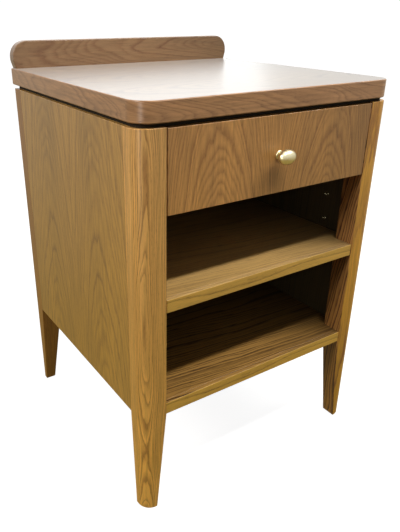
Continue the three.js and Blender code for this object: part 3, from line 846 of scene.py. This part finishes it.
class CABINET_OT_top(bpy.types.Operator):
    """Makes the top board, its upstand and the dark strip of the shadow gap."""

    bl_idname = "cabinet.top"
    bl_label = "Top, upstand and shadow gap"

    rear_corner = 2.5 * MM
    foot_setback = 4 * MM
    foot_radius = 2 * MM
    swell_height = 14 * MM
    swell_radius = 16 * MM
    past_edge = 10 * MM

    def execute(self, context):
        joinery = context.scene.cabinet_joinery
        finish = context.scene.cabinet_finish
        self.slab(joinery, finish)
        self.upstand(joinery, finish)
        self.spacer(finish)
        return {"FINISHED"}

    def slab(self, joinery, finish):
        """The top board, housed for the upstand, with veneer on its faces and other oak along its edges."""
        lowest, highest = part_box("top_slab")
        front, rear = joinery.top_corner, self.rear_corner
        corners = [
            (lowest.x, lowest.y, front), (highest.x, lowest.y, front),
            (highest.x, highest.y, rear), (lowest.x, highest.y, rear),
        ]
        slab = board("top_board", corners, "Z", lowest.z, highest.z, joinery.top_ease)
        foot_low, foot_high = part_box("upstand")
        reach = foot_high.x - self.foot_setback
        outline = rectangle(-reach, reach, foot_low.y, highest.y + self.past_edge)
        carve(slab, [board("housing", outline, "Z", foot_low.z, highest.z + self.past_edge, 0.0)])
        # The top's face is darker towards the right: painted shade.
        face = wood("oak_top_veneer", finish.top_face, finish.top_line, (0.0, 0.0, highest.z - 0.08), "X",
                    lean=(0.12, 0.0), roughness=finish.polish, leaf=("Y", 0.162, -0.231), contrast=0.6,
                    coat=0.75, coat_roughness=0.34, painted_shade_falls=[("X", 0.05, 0.25, 0.3)])
        bloom = {"Sheen Weight": 0.5, "Sheen Roughness": 0.5, "Sheen Tint": (0.88, 0.94, 1.0, 1.0)}
        set_shader(face, bloom)
        edge = wood("oak_top_edge", finish.top_edge, finish.top_line, (0.0, 0.05, 0.0), by_run=True,
                    lean=(0.0, 0.05), waver=0.04, roughness=0.3, contrast=0.4, rings=0.45,
                    softness=0.4, streak=1.0)
        finish_piece(slab, face, "cabinet", "oak_top", "top_slab")
        slab.data.materials.append(edge)
        for polygon in slab.data.polygons:
            polygon.material_index = 0 if abs(polygon.normal.z) > NEARLY_LEVEL else 1

    def upstand(self, joinery, finish):
        lowest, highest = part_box("upstand")
        foot = highest.x - self.foot_setback
        surface = high("top_slab").z
        right = [
            (foot, lowest.z, 0.0), (foot, surface, self.foot_radius),
            (highest.x, surface + self.swell_height, self.swell_radius),
            (highest.x, highest.z, joinery.upstand_corner),
        ]
        corners = right + [(-x, z, radius) for x, z, radius in reversed(right)]
        piece = board("upstand_board", corners, "Y", lowest.y, highest.y, joinery.upstand_ease)
        heart = (0.06, lowest.y + 0.04, highest.z - 0.02)
        # The upstand is darker towards the right: painted shade.
        oak = wood("oak_upstand", finish.top, finish.top_line, heart, "X", lean=(0.02, 0.1), waver=0.05,
                   roughness=0.3, contrast=0.5, rings=0.7, softness=0.4, streak=0.7,
                   painted_shade_falls=[("X", 0.0, 0.25, 0.2)])
        finish_piece(piece, oak, "cabinet", "oak_top", "upstand")

    def spacer(self, finish):
        stain = wood("dark_stained_strip", finish.stain, finish.stain, (0.0, 0.0, 0.5), "X", roughness=0.75)
        set_shader(stain, {"Specular IOR Level": 0.15})
        finish_node("shadow_gap_spacer", stain)


# ---- Legs ----


class CABINET_OT_legs(bpy.types.Operator):
    """Makes the four tapered legs."""

    bl_idname = "cabinet.legs"
    bl_label = "Legs"

    foot_ease = 1.5 * MM
    meeting_ease = 0.5 * MM
    taper_start = 0.195

    # The width and depth of each leg's foot.
    feet = {"front": (0.026, 0.0285), "rear": (0.021, 0.012)}

    # Each leg's heart and how the log leans from it.
    logs = {
        "front_leg_left": ((-0.285, -0.263, 0.43), (0.006, 0.006)),
        "front_leg_right": ((0.232, -0.305, 0.2), (0.01, 0.02)),
        "rear_leg_left": ((-0.20, 0.26, 0.3), (0.02, 0.02)),
        "rear_leg_right": ((0.21, 0.19, 0.5), (0.03, -0.02)),
    }

    def execute(self, context):
        joinery = context.scene.cabinet_joinery
        finish = context.scene.cabinet_finish
        for row in self.feet:
            for name, side in SIDES.items():
                node = f"{row}_leg_{name}"
                leg = self.leg(node, row, side, joinery)
                oak = self.oak(node, row, finish)
                finish_piece(leg, oak, "cabinet", "oak_solid", node)
                if node == "front_leg_right":
                    refinish(leg, self.bold_oak(finish), (-1, 0, 0))
        return {"FINISHED"}

    def oak(self, node, row, finish):
        heart, lean = self.logs[node]
        right_front = node == "front_leg_right"
        light = finish.leg_right if right_front else finish.leg
        if row == "rear":
            light = finish.leg_rear
        return wood(f"oak_{node}", light, finish.leg_line, heart, "Z", lean=lean,
                    waver=0.045 if node == "front_leg_left" else 0.026, roughness=finish.satin,
                    contrast=0.6, rings=1.2 if right_front else 0.5, streak=0.8)

    def bold_oak(self, finish):
        return wood("oak_bold_lines", finish.leg_inner, finish.leg_inner_line, (0.18, -0.3, 0.35), "Z",
                    lean=(0.02, 0.12), waver=0.05, roughness=finish.satin, contrast=1.0, rings=1.2)

    def leg(self, node, row, side, joinery):
        lowest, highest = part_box(node)
        full = (highest.x - lowest.x, highest.y - lowest.y)
        foot = self.feet[row]
        top, ease = highest.z, joinery.board_ease
        levels = rounded_edge(0.0, self.foot_ease)
        levels += [(self.taper_start, 0.0), (top - ease, 0.0), (top - ease * 0.3, ease * 0.3), (top, ease)]
        loops = []
        for height, gap in levels:
            share = min(height / self.taper_start, 1.0)
            width = foot[0] + share * (full[0] - foot[0])
            depth = foot[1] + share * (full[1] - foot[1])
            outline = inset(self.section(lowest, highest, row, side, width, depth, joinery), gap)
            loops.append([Vector((p.x, p.y, height)) for p in outline])
        return keep_faces_flat(skin(f"{node}_post", loops))

    def section(self, lowest, highest, row, side, width, depth, joinery):
        """The leg in plan at a height, with its outer faces fixed and its inner faces set by the taper."""
        ease = joinery.leg_ease
        outer = highest.x if side > 0 else lowest.x
        inner = outer - side * width
        outer_front, outer_rear = self.meeting_ease, ease
        front, rear = highest.y - depth, highest.y
        if row == "front":
            outer_front, outer_rear = joinery.leg_corner, self.meeting_ease
            front, rear = lowest.y, lowest.y + depth
        corners = [
            (inner, front, ease), (outer, front, outer_front),
            (outer, rear, outer_rear), (inner, rear, ease),
        ]
        if side < 0:
            corners.reverse()
        return filleted(corners)


# ---- Side panels, back and shelves ----


class CABINET_OT_panels(bpy.types.Operator):
    """Makes the two side panels and finishes the back and the hidden rails."""

    bl_idname = "cabinet.panels"
    bl_label = "Panels and rails"

    hole_radius = 3.6 * MM
    hole_depth = 12 * MM
    past_face = 10 * MM

    def execute(self, context):
        joinery = context.scene.cabinet_joinery
        finish = context.scene.cabinet_finish
        for name, side in SIDES.items():
            self.panel(name, side, joinery, finish)
        # The back board is dark on both faces: painted shade for the inside of the carcass, on its outer
        # face too.
        back = self.dark("back_painted_shade", (0.0, 0.3, 0.0), finish)
        finish_node("back_panel", back)
        pine = self.pine("planed_pine", (0.0, 0.0, 0.58), "X", finish)
        for node in ("top_front_rail", "top_rear_rail"):
            finish_node(node, pine)
        batten = self.pine("planed_pine_batten", (0.0, 0.0, 0.52), "Y", finish)
        for name in SIDES:
            finish_node(f"runner_batten_{name}", batten)
        return {"FINISHED"}

    def panel(self, name, side, joinery, finish):
        """A side panel, bored for the shelf sleeves, with a dark inner face that is painted shade."""
        node = f"side_panel_{name}"
        lowest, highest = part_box(node)
        ease = joinery.board_ease
        front, rear = high("front_leg_left").y, low("rear_leg_left").y
        corners = rectangle(lowest.x, highest.x, front, rear, ease)
        panel = board(f"{node}_board", corners, "Z", lowest.z, highest.z, ease)
        inner = lowest.x if side > 0 else highest.x
        carve(panel, [self.hole(sleeve, inner, side) for sleeve in sleeve_nodes(name)])
        # The panel is darker towards the rear: painted shade.
        oak = wood(f"oak_{node}", finish.panel, finish.panel_line, (side * 0.33, 0.0, 0.4), "Z",
                   lean=(-0.15 * side, 0.0), waver=0.03, roughness=finish.satin, contrast=0.52,
                   leaf=("Y", 0.212, -0.205), rings=1.4, softness=0.6, streak=0.9,
                   painted_shade_falls=[("Y", -0.05, 0.2, 0.16)])
        finish_piece(panel, oak, "cabinet", "oak_veneer", node)
        # The panel's inner face is dark: painted shade inside the carcass.
        refinish(panel, self.dark(node, (side * 0.3, 0.0, 0.4), finish), (-side, 0, 0))

    def hole(self, sleeve, inner, side):
        centre = middle(sleeve)
        profile = [
            (0.0, -self.past_face), (self.hole_radius, -self.past_face),
            (self.hole_radius, self.hole_depth), (0.0, self.hole_depth),
        ]
        return turned("hole", profile, (inner, centre.y, centre.z), (side, 0, 0), steps=24)

    # A dark finish that stands in for the shade inside the carcass: painted shade.
    def dark(self, place, heart, finish):
        return wood(f"dark_{place}", finish.inside, finish.stain, heart, "Z", lean=(0.02, 0.03),
                    roughness=0.5, contrast=0.4)

    def pine(self, name, heart, grain, finish):
        return wood(name, finish.pine, finish.leg_line, heart, grain, roughness=0.6, contrast=0.35,
                    rings=1.5)


class CABINET_OT_shelves(bpy.types.Operator):
    """Makes the fixed bottom shelf and the loose middle shelf, each with its lipping."""

    bl_idname = "cabinet.shelves"
    bl_label = "Shelves"

    # The loose shelf stands this far off the legs that it is notched round.
    slip = 1 * MM

    # The bottom shelf's red, green and blue as shares of the middle one's.
    low_shelf_tint = (0.66, 0.58, 0.5)
    low_shelf_line_tint = (0.5, 0.5, 0.5)

    def execute(self, context):
        finish = context.scene.cabinet_finish
        self.shelf(context, "bottom_shelf", "cabinet", 0.0, self.bold_oak(finish))
        self.shelf(context, "middle_shelf", "shelf", self.slip, self.plain_oak(finish))
        return {"FINISHED"}

    def bold_oak(self, finish):
        light = tinted(finish.shelf, self.low_shelf_tint)
        line = tinted(finish.shelf_line, self.low_shelf_line_tint)
        return self.oak("bottom_shelf", light, line, finish, contrast=1.0, rings=1.4)

    def plain_oak(self, finish):
        return self.oak("middle_shelf", finish.shelf, finish.shelf_line, finish, contrast=0.4, rings=1.5)

    def oak(self, node, light, line, finish, contrast, rings):
        # Both shelves are darker towards the right end and towards the rear: painted shade inside the
        # carcass.
        return wood(f"oak_{node}", light, line, (0.1, 0.02, low(node).z - 0.05), "X", lean=(0.04, 0.05),
                    waver=0.05, roughness=finish.satin, contrast=contrast, rings=rings, softness=0.2,
                    painted_shade_falls=[("X", 0.04, 0.24, 0.55), ("Y", -0.13, 0.0, 0.5)])

    def shelf(self, context, node, body, gap, oak):
        """A shelf with a light strip along its front edge, whose upper face is finished like the shelf."""
        finish = context.scene.cabinet_finish
        ease = context.scene.cabinet_joinery.board_ease
        lowest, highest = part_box(node)
        corners = self.notched(lowest, highest, gap)
        shelf = board(f"{node}_board", corners, "Z", lowest.z, highest.z, ease)
        finish_piece(shelf, oak, body, "oak_veneer", node)
        lipping = box_board(f"{node}_edge_strip", f"{node}_lipping", ease)
        light = wood(f"oak_{node}_lipping", finish.lipping, finish.lipping_line,
                     (0.0, -0.28, lowest.z - 0.02), "X", lean=(0.01, 0.01), waver=0.03,
                     roughness=finish.satin, contrast=0.5)
        finish_piece(lipping, light, body, "oak_lipping", f"{node}_lipping")
        refinish(lipping, oak, (0, 0, 1))

    def notched(self, lowest, highest, gap):
        """The shelf in plan, reaching the side panels between the front legs and the rear ones."""
        narrow = low("front_leg_right").x - gap
        front_notch = high("front_leg_right").y + gap
        rear_notch = low("rear_leg_right").y - gap
        right = [(narrow, lowest.y), (narrow, front_notch), (highest.x, front_notch),
                 (highest.x, rear_notch), (narrow, rear_notch), (narrow, highest.y)]
        left = [(-x, y) for x, y in reversed(right)]
        return [(x, y, 0.0) for x, y in right + left]


# ---- Shelf fittings ----


class CABINET_OT_shelf_fittings(bpy.types.Operator):
    """Sets the brass sleeves in the side panels and the brackets under the middle shelf."""

    bl_idname = "cabinet.shelf_fittings"
    bl_label = "Shelf sleeves and brackets"

    bore = 2.5 * MM
    outer = 3.5 * MM
    rim = 4 * MM
    proud = 0.5 * MM
    length = 10 * MM

    def execute(self, context):
        sleeve = self.sleeve()
        for name, side in SIDES.items():
            nodes = sleeve_nodes(name)
            inner = low("side_panel_right").x * side
            places = [(inner, middle(node).y, middle(node).z) for node in nodes]
            sleeves = set_fittings(f"shelf_sleeves_{name}", sleeve, places, (-side, 0, 0), bright_brass())
            finish_piece(sleeves, None, "cabinet", "brass", *nodes)
        bpy.data.objects.remove(sleeve)
        for column in ("front", "rear"):
            for name in SIDES:
                finish_node(f"shelf_bracket_{column}_{name}", zinc_steel())
        return {"FINISHED"}

    def sleeve(self):
        """A tube with a rounded rim that stands a little proud of the panel."""
        centre, half = (self.bore + self.rim) / 2, (self.rim - self.bore) / 2
        profile = [(self.bore, -self.length), (self.outer, -self.length), (self.outer, 0.0), (self.rim, 0.0)]
        for k in range(1, 8):
            turn = math.pi * k / 8
            profile.append((centre + half * math.cos(turn), self.proud * math.sin(turn)))
        profile += [(self.bore, 0.0), (self.bore, -self.length)]
        return turned("sleeve_pattern", profile, (0, 0, 0), (0, 0, 1), steps=32)


# ---- Drawer ----


class CABINET_OT_drawer(bpy.types.Operator):
    """Makes the drawer front and the plywood drawer box behind it."""

    bl_idname = "cabinet.drawer"
    bl_label = "Drawer"

    def execute(self, context):
        joinery = context.scene.cabinet_joinery
        finish = context.scene.cabinet_finish
        front = box_board("drawer_front_board", "drawer_front", joinery.board_ease, "Y")
        heart = (0.0, low("drawer_front").y + 0.07, 0.6)
        # The drawer front is darker towards the right: painted shade of light that comes from the left.
        oak = wood("oak_drawer_front", finish.front, finish.front_line, heart, "Z",
                   lean=(0.0, -0.15), waver=0.02, roughness=finish.satin, contrast=0.55,
                   leaf=("X", 0.222, -0.222), rings=0.85, softness=0.6, streak=0.85,
                   painted_shade_falls=[("X", -0.1, 0.23, 0.36)])
        finish_piece(front, oak, "drawer", "oak_veneer", "drawer_front")
        for name in SIDES:
            self.ply_board(f"drawer_side_{name}", "X", "Y", joinery, finish)
        for node in ("drawer_box_front", "drawer_box_back"):
            self.ply_board(node, "Y", "X", joinery, finish)
        birch = self.birch("drawer_bottom", (0.0, 0.0, 0.45), "X", "Z", 5, finish)
        finish_node("drawer_bottom", birch)
        return {"FINISHED"}

    def ply_board(self, node, axis, grain, joinery, finish):
        """A birch plywood wall of the drawer box, with nine layers across its thickness."""
        wall = box_board(f"{node}_board", node, joinery.box_ease, axis)
        birch = self.birch(node, (low(node).x + 0.05, 0.1, 0.52), grain, axis, 9, finish)
        finish_piece(wall, birch, "drawer", "birch_ply", node)

    def birch(self, node, heart, grain, axis, layers, finish):
        across = "XYZ".index(axis)
        lowest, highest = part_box(node)
        layer = (highest[across] - lowest[across]) / layers
        return wood(f"birch_{node}", finish.birch, finish.birch_line, heart, grain, roughness=0.5,
                    contrast=0.4, rings=3.0, softness=0.5, plies=(axis, lowest[across], layer))


class CABINET_OT_knob(bpy.types.Operator):
    """Makes the oval brass knob, its neck and its rosette."""

    bl_idname = "cabinet.knob"
    bl_label = "Knob"

    depth = 20 * MM
    half_steps = 24

    # (radius, distance out) in millimetres, from the drawer front's face.
    neck = ((0.0, 0.0), (4.3, 0.0), (4.0, 3.5), (4.0, 9.0), (5.5, 12.0), (0.0, 12.0))
    rose = (
        (0.0, 0.0), (7.25, 0.0), (7.25, 1.2), (6.9, 2.1),
        (6.0, 2.7), (4.6, 3.0), (4.3, 2.8), (0.0, 2.8),
    )

    def execute(self, context):
        lowest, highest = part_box("knob_head")
        centre = Vector((0.0, highest.y, (lowest.z + highest.z) / 2))
        height = highest.z - lowest.z
        widen = (highest.x - lowest.x) / height
        outline = self.oval(height, highest.y - lowest.y)
        head = turned("oval_knob", outline, centre, (0, -1, 0), steps=64, widen=widen)
        finish_piece(head, polished_brass(), "drawer", "brass", "knob_head")
        parts = (("knob_neck", self.neck, ()), ("knob_rose", self.rose, ("knob_rosette",)))
        for name, profile, nodes in parts:
            metres = [(radius * MM, out * MM) for radius, out in profile]
            piece = turned(name, metres, centre, (0, -1, 0), steps=48)
            finish_piece(piece, polished_brass(), "drawer", "brass", *nodes)
        return {"FINISHED"}

    def oval(self, height, reach):
        """Half of the head's section, from its outer pole to its inner one."""
        profile = []
        for k in range(self.half_steps + 1):
            turn = math.pi * k / self.half_steps
            out = reach - self.depth / 2 + self.depth / 2 * math.cos(turn)
            profile.append((height / 2 * math.sin(turn), out))
        return profile


# ---- Runners and fixings ----


class CABINET_OT_runners(bpy.types.Operator):
    """Makes the telescopic runners' channels and fills their cages with balls."""

    bl_idname = "cabinet.runners"
    bl_label = "Runners"

    balls_in_row = 14
    ball_pitch = 14 * MM
    first_ball = 6 * MM
    ball_sunk = 0.375 * MM
    gauges = {"outer": 3.0, "inner": 3.3}

    # Radii of a channel's bends: at the web, at a lip, at a cut edge and inside the web.
    web_bend = 1.6 * MM
    lip_bend = 1.2 * MM
    cut_edge = 0.3 * MM
    inner_bend = 0.4 * MM
    end_ease = 0.15 * MM

    def execute(self, context):
        for name, side in SIDES.items():
            inner = side * low("front_leg_right").x
            centre = middle(f"runner_cabinet_member_{name}").z
            for member, web, edge, half, lip, body in RUNNER_CHANNELS:
                node = f"runner_{member}_member_{name}"
                outline = self.channel(web, edge, half, lip)
                corners = [(inner - side * u, centre + v, r) for u, v, r in outline]
                if side < 0:
                    corners.reverse()
                lowest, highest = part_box(node)
                piece = board(f"{node}_channel", corners, "Y", lowest.y, highest.y, self.end_ease)
                finish_piece(piece, zinc_steel(), body.format(side=name), "zinc_steel", node)
            for cage, gauge in self.gauges.items():
                self.balls(name, cage, gauge)
        return {"FINISHED"}

    def channel(self, web, edge, half, lip):
        """Half of a channel's section and its mirror image, as (out from the leg, up, radius)."""
        small, sheet = self.cut_edge, RUNNER_SHEET
        inward = 1 if edge > web else -1
        upper = [(web, half, self.web_bend), (edge, half, self.lip_bend if lip else small)]
        turn = edge
        if lip:
            turn = edge - inward * sheet
            upper += [(edge, half - lip, small), (turn, half - lip, small)]
        upper += [(turn, half - sheet, small), (web + inward * sheet, half - sheet, self.inner_bend)]
        outline = upper + [(u, -v, r) for u, v, r in reversed(upper)]
        return outline if inward > 0 else outline[::-1]

    def balls(self, name, cage, gauge):
        steel = zinc_steel()
        node = f"runner_{cage}_ball_cage_{name}"
        finish_node(node, steel)
        lowest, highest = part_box(node)
        x = (lowest.x + highest.x) / 2
        heights = (lowest.z + self.ball_sunk, highest.z - self.ball_sunk)
        starts = [(x, lowest.y + self.first_ball, z) for z in heights]
        mesh = bpy.data.meshes.new(f"{cage}_balls_{name}")
        mesh.from_pydata(starts, [], [])
        balls = new_object(f"runner_{cage}_balls_{name}", mesh)
        modifier = balls.modifiers.new("balls", "NODES")
        modifier.node_group = shared(bpy.data.node_groups, "ball_rows", ball_row_tree)
        set_inputs(modifier, {"Count": self.balls_in_row, "Pitch": self.ball_pitch,
                              "Ball radius": gauge / 2 * MM, "Finish": steel})
        settle(balls)
        finish_piece(balls, None, f"runner_{cage}_cage_{name}", "zinc_steel")


class CABINET_OT_screws(bpy.types.Operator):
    """Sets every screw whose head shows: in the rails, the drawer box, the runners and the back."""

    bl_idname = "cabinet.screws"
    bl_label = "Screws"

    # Where the screws without a solid of their own sit, along the back and along the runners.
    back_columns = (-0.16, 0.0, 0.16)
    back_rows = (0.207, 0.658)
    leg_places = (-0.198, -0.05, 0.16)
    box_places = (-0.19, 0.0, 0.18)

    def execute(self, context):
        rail = low("top_front_rail").z
        wall = high("drawer_box_front").y
        back = high("back_panel").y
        top_nodes = [f"top_screw_{row}_{name}" for row in ("front", "rear") for name in SIDES]
        front_nodes = [f"drawer_front_screw_{name}" for name in SIDES]
        tops = [(middle(node).x, middle(node).y, rail) for node in top_nodes]
        fronts = [(middle(node).x, wall, middle(node).z) for node in front_nodes]
        knob = [(0, wall, middle("knob_screw").z)]
        backs = [(x, back, z) for z in self.back_rows for x in self.back_columns]
        self.screws("top_screws", "cabinet", 4.5 * MM, 38 * MM, (0, 0, -1), tops, top_nodes)
        self.screws("drawer_front_screws", "drawer", 4 * MM, 25 * MM, (0, 1, 0), fronts, front_nodes)
        self.screws("knob_fixing_screw", "drawer", 4 * MM, 38 * MM, (0, 1, 0), knob, ["knob_screw"])
        self.screws("back_panel_screws", "cabinet", 3 * MM, 12 * MM, (0, 1, 0), backs)
        for name, side in SIDES.items():
            self.runner_screws(name, side)
        return {"FINISHED"}

    def runner_screws(self, name, side):
        """Flat screws that hold a runner to its leg, and to the drawer box."""
        height = middle(f"runner_cabinet_member_{name}").z
        leg = side * (low("front_leg_right").x - RUNNER_SHEET)
        box = side * (high("drawer_side_right").x + RUNNER_SHEET)
        legs = [(leg, y, height) for y in self.leg_places]
        boxes = [(box, y, height) for y in self.box_places]
        self.screws(f"runner_leg_screws_{name}", "cabinet", 3 * MM, 10 * MM, (-side, 0, 0), legs, flat=True)
        self.screws(f"runner_box_screws_{name}", "drawer", 3 * MM, 8 * MM, (side, 0, 0), boxes, flat=True)

    def screws(self, name, body, head, length, facing, places, nodes=(), flat=False):
        pattern = self.pattern(head, length, flat)
        piece = set_fittings(name, pattern, places, facing, zinc_steel(), turn=math.tau, seed=len(name))
        bpy.data.objects.remove(pattern)
        finish_piece(piece, None, body, "zinc_steel", *nodes)

    def pattern(self, head, length, flat):
        """A pan head or a flat one with a cross recess, its shank along -Z."""
        shank = head / 2
        rise = 0.35 * MM if flat else head * 0.55
        profile = [
            (0.0, -length), (shank * 0.3, -length), (shank, -length + shank * 2.5), (shank, 0.0),
            (head, 0.0), (head, rise * 0.4), (head * 0.94, rise * 0.65), (head * 0.72, rise * 0.9),
            (head * 0.4, rise), (0.0, rise),
        ]
        screw = turned("screw_pattern", profile, (0, 0, 0), (0, 0, 1), steps=24)
        long_arm, short_arm = head * 0.55, head * 0.11
        slots = []
        for x, y in ((long_arm, short_arm), (short_arm, long_arm)):
            slots.append(board("slot", rectangle(-x, x, -y, y), "Z", rise * 0.35, rise * 2, 0.0))
        return carve(screw, slots)


# ---- Stage ----


class CABINET_OT_stage(bpy.types.Operator):
    """Sets the floor, the lights, the room and the camera."""

    bl_idname = "cabinet.stage"
    bl_label = "Floor, lights and camera"

    floor_reach = 30.0
    floor_dimming = 0.3
    floor_glow = 0.9
    room_light = 1.05
    horizon = (-0.5, 0.3)
    lamp_aim = Vector((0.0, 0.0, 0.4))
    sensor_width = 36.0
    camera_place = Vector((-0.60166, -0.8511, 0.81296))
    camera_shift = (0.0493, -0.0206)

    # Yaw, pitch and roll in degrees.
    camera_turn = (33.26, -23.97, 0.37)

    def execute(self, context):
        stage = context.scene.cabinet_stage
        self.floor(stage)
        self.lights(stage)
        self.room(context, stage)
        self.camera(context, stage)
        return {"FINISHED"}

    def floor(self, stage):
        reach = self.floor_reach
        corners = [(x, y, 0) for x, y, _ in rectangle(-reach, reach, -reach, reach)]
        mesh = bpy.data.meshes.new("floor")
        mesh.from_pydata(corners, [], [(0, 1, 2, 3)])
        floor = new_object("floor", mesh)
        material, _, _ = new_material("plain_floor")
        colour = tinted(stage.floor, (self.floor_dimming,) * 3)
        set_shader(material, {"Base Color": (*colour, 1.0), "Roughness": 0.7, "Emission Color": WHITE,
                              "Emission Strength": self.floor_glow})
        mesh.materials.append(material)
        floor.visible_diffuse = False
        floor.visible_glossy = False

    def lamp(self, name, way, distance, size, power, colour):
        """A rectangular lamp that shines at the cabinet from a given way, with its long side along X."""
        way = Vector(way).normalized()
        light = bpy.data.lights.new(name, "AREA")
        light.shape = "RECTANGLE"
        light.size, light.size_y = size
        light.energy = power
        light.color = colour
        lamp = new_object(name, light)
        lamp.location = self.lamp_aim + way * distance
        across = (Vector((1, 0, 0)) - way * way.x).normalized()
        lamp.rotation_euler = Matrix((across, way.cross(across), way)).transposed().to_euler()
        lamp.visible_camera = False
        return lamp

    def lights(self, stage):
        self.lamp("key", (0.32, -0.504, 1.0), 2.6, (2.8, 0.16), stage.key, (1.0, 0.97, 0.93))
        self.lamp("side", (-1.0, -0.2, 0.7), 2.6, (0.6, 0.6), stage.side, (1.0, 0.95, 0.88))
        back = self.lamp("back", (0.7, 0.9, 0.9), 2.8, (1.5, 1.0), stage.back, (1.0, 0.98, 0.96))
        back.visible_glossy = False
        shine = self.lamp("shine", (0.42, 1.0, 0.5), 2.6, (2.2, 1.4), stage.shine, (0.86, 0.94, 1.0))
        glint = self.lamp("glint", (-0.8, -0.45, 0.03), 2.6, (0.6, 0.8), stage.glint, (1.0, 0.98, 0.96))
        for lamp in (shine, glint):
            lamp.visible_diffuse = False

    def room(self, context, stage):
        """A white room with a dim warm floor: weaker on dull surfaces than where it's seen or mirrored."""
        world = bpy.data.worlds.new("white_room")
        context.scene.world = world
        world.use_nodes = True
        graph = Graph(world.node_tree)
        path = graph.node("ShaderNodeLightPath").outputs
        way = graph.node("ShaderNodeTexCoord").outputs["Generated"]
        height = graph.between(graph.split(way)["Z"], *self.horizon)
        seen = graph.math("MAXIMUM", path["Is Camera Ray"], height)
        colour = graph.mix(seen, (*stage.below, 1.0), WHITE)
        change = stage.ambient - self.room_light
        strength = graph.math("MULTIPLY_ADD", path["Is Diffuse Ray"], change, self.room_light)
        background = world.node_tree.nodes["Background"]
        graph.feed(background.inputs["Color"], colour)
        graph.feed(background.inputs["Strength"], strength)
        context.scene.view_settings.view_transform = "Standard"

    def camera(self, context, stage):
        yaw, pitch, roll = (math.radians(angle) for angle in self.camera_turn)
        level = math.cos(pitch)
        forward = Vector((math.sin(yaw) * level, math.cos(yaw) * level, math.sin(pitch)))
        right = Vector((math.cos(yaw), -math.sin(yaw), 0.0))
        up = right.cross(forward)
        turned_right = right * math.cos(roll) + up * math.sin(roll)
        turned_up = up * math.cos(roll) - right * math.sin(roll)
        data = bpy.data.cameras.new("camera")
        data.sensor_width = self.sensor_width
        data.lens = stage.lens
        data.shift_x, data.shift_y = self.camera_shift
        camera = new_object("camera", data)
        matrix = Matrix((turned_right, turned_up, -forward)).transposed().to_4x4()
        matrix.translation = self.camera_place
        camera.matrix_world = matrix
        context.scene.camera = camera


# ---- Sidebar and running order ----

OPERATORS = (
    CABINET_OT_stage,
    CABINET_OT_top,
    CABINET_OT_legs,
    CABINET_OT_panels,
    CABINET_OT_shelves,
    CABINET_OT_shelf_fittings,
    CABINET_OT_drawer,
    CABINET_OT_knob,
    CABINET_OT_runners,
    CABINET_OT_screws,
)


class CABINET_PT_sidebar(bpy.types.Panel):
    """Lists the settings and the steps that build the cabinet."""

    bl_idname = "CABINET_PT_sidebar"
    bl_label = "Bedside cabinet"
    bl_space_type = "VIEW_3D"
    bl_region_type = "UI"
    bl_category = "Cabinet"

    def draw(self, context):
        for settings in ("cabinet_joinery", "cabinet_finish", "cabinet_stage"):
            group = getattr(context.scene, settings)
            column = self.layout.column(align=True)
            for name in group.__annotations__:
                column.prop(group, name)
        for operator in OPERATORS:
            self.layout.operator(operator.bl_idname)


CLASSES = (CabinetJoinery, CabinetFinish, CabinetStage, *OPERATORS, CABINET_PT_sidebar)


def register():
    for cls in CLASSES:
        bpy.utils.register_class(cls)
    bpy.types.Scene.cabinet_joinery = PointerProperty(type=CabinetJoinery)
    bpy.types.Scene.cabinet_finish = PointerProperty(type=CabinetFinish)
    bpy.types.Scene.cabinet_stage = PointerProperty(type=CabinetStage)


def unregister():
    del bpy.types.Scene.cabinet_joinery
    del bpy.types.Scene.cabinet_finish
    del bpy.types.Scene.cabinet_stage
    for cls in reversed(CLASSES):
        bpy.utils.unregister_class(cls)


def main():
    register()
    for operator in OPERATORS:
        getattr(bpy.ops.cabinet, operator.bl_idname.split(".")[1])()


if __name__ == "__main__":
    main()
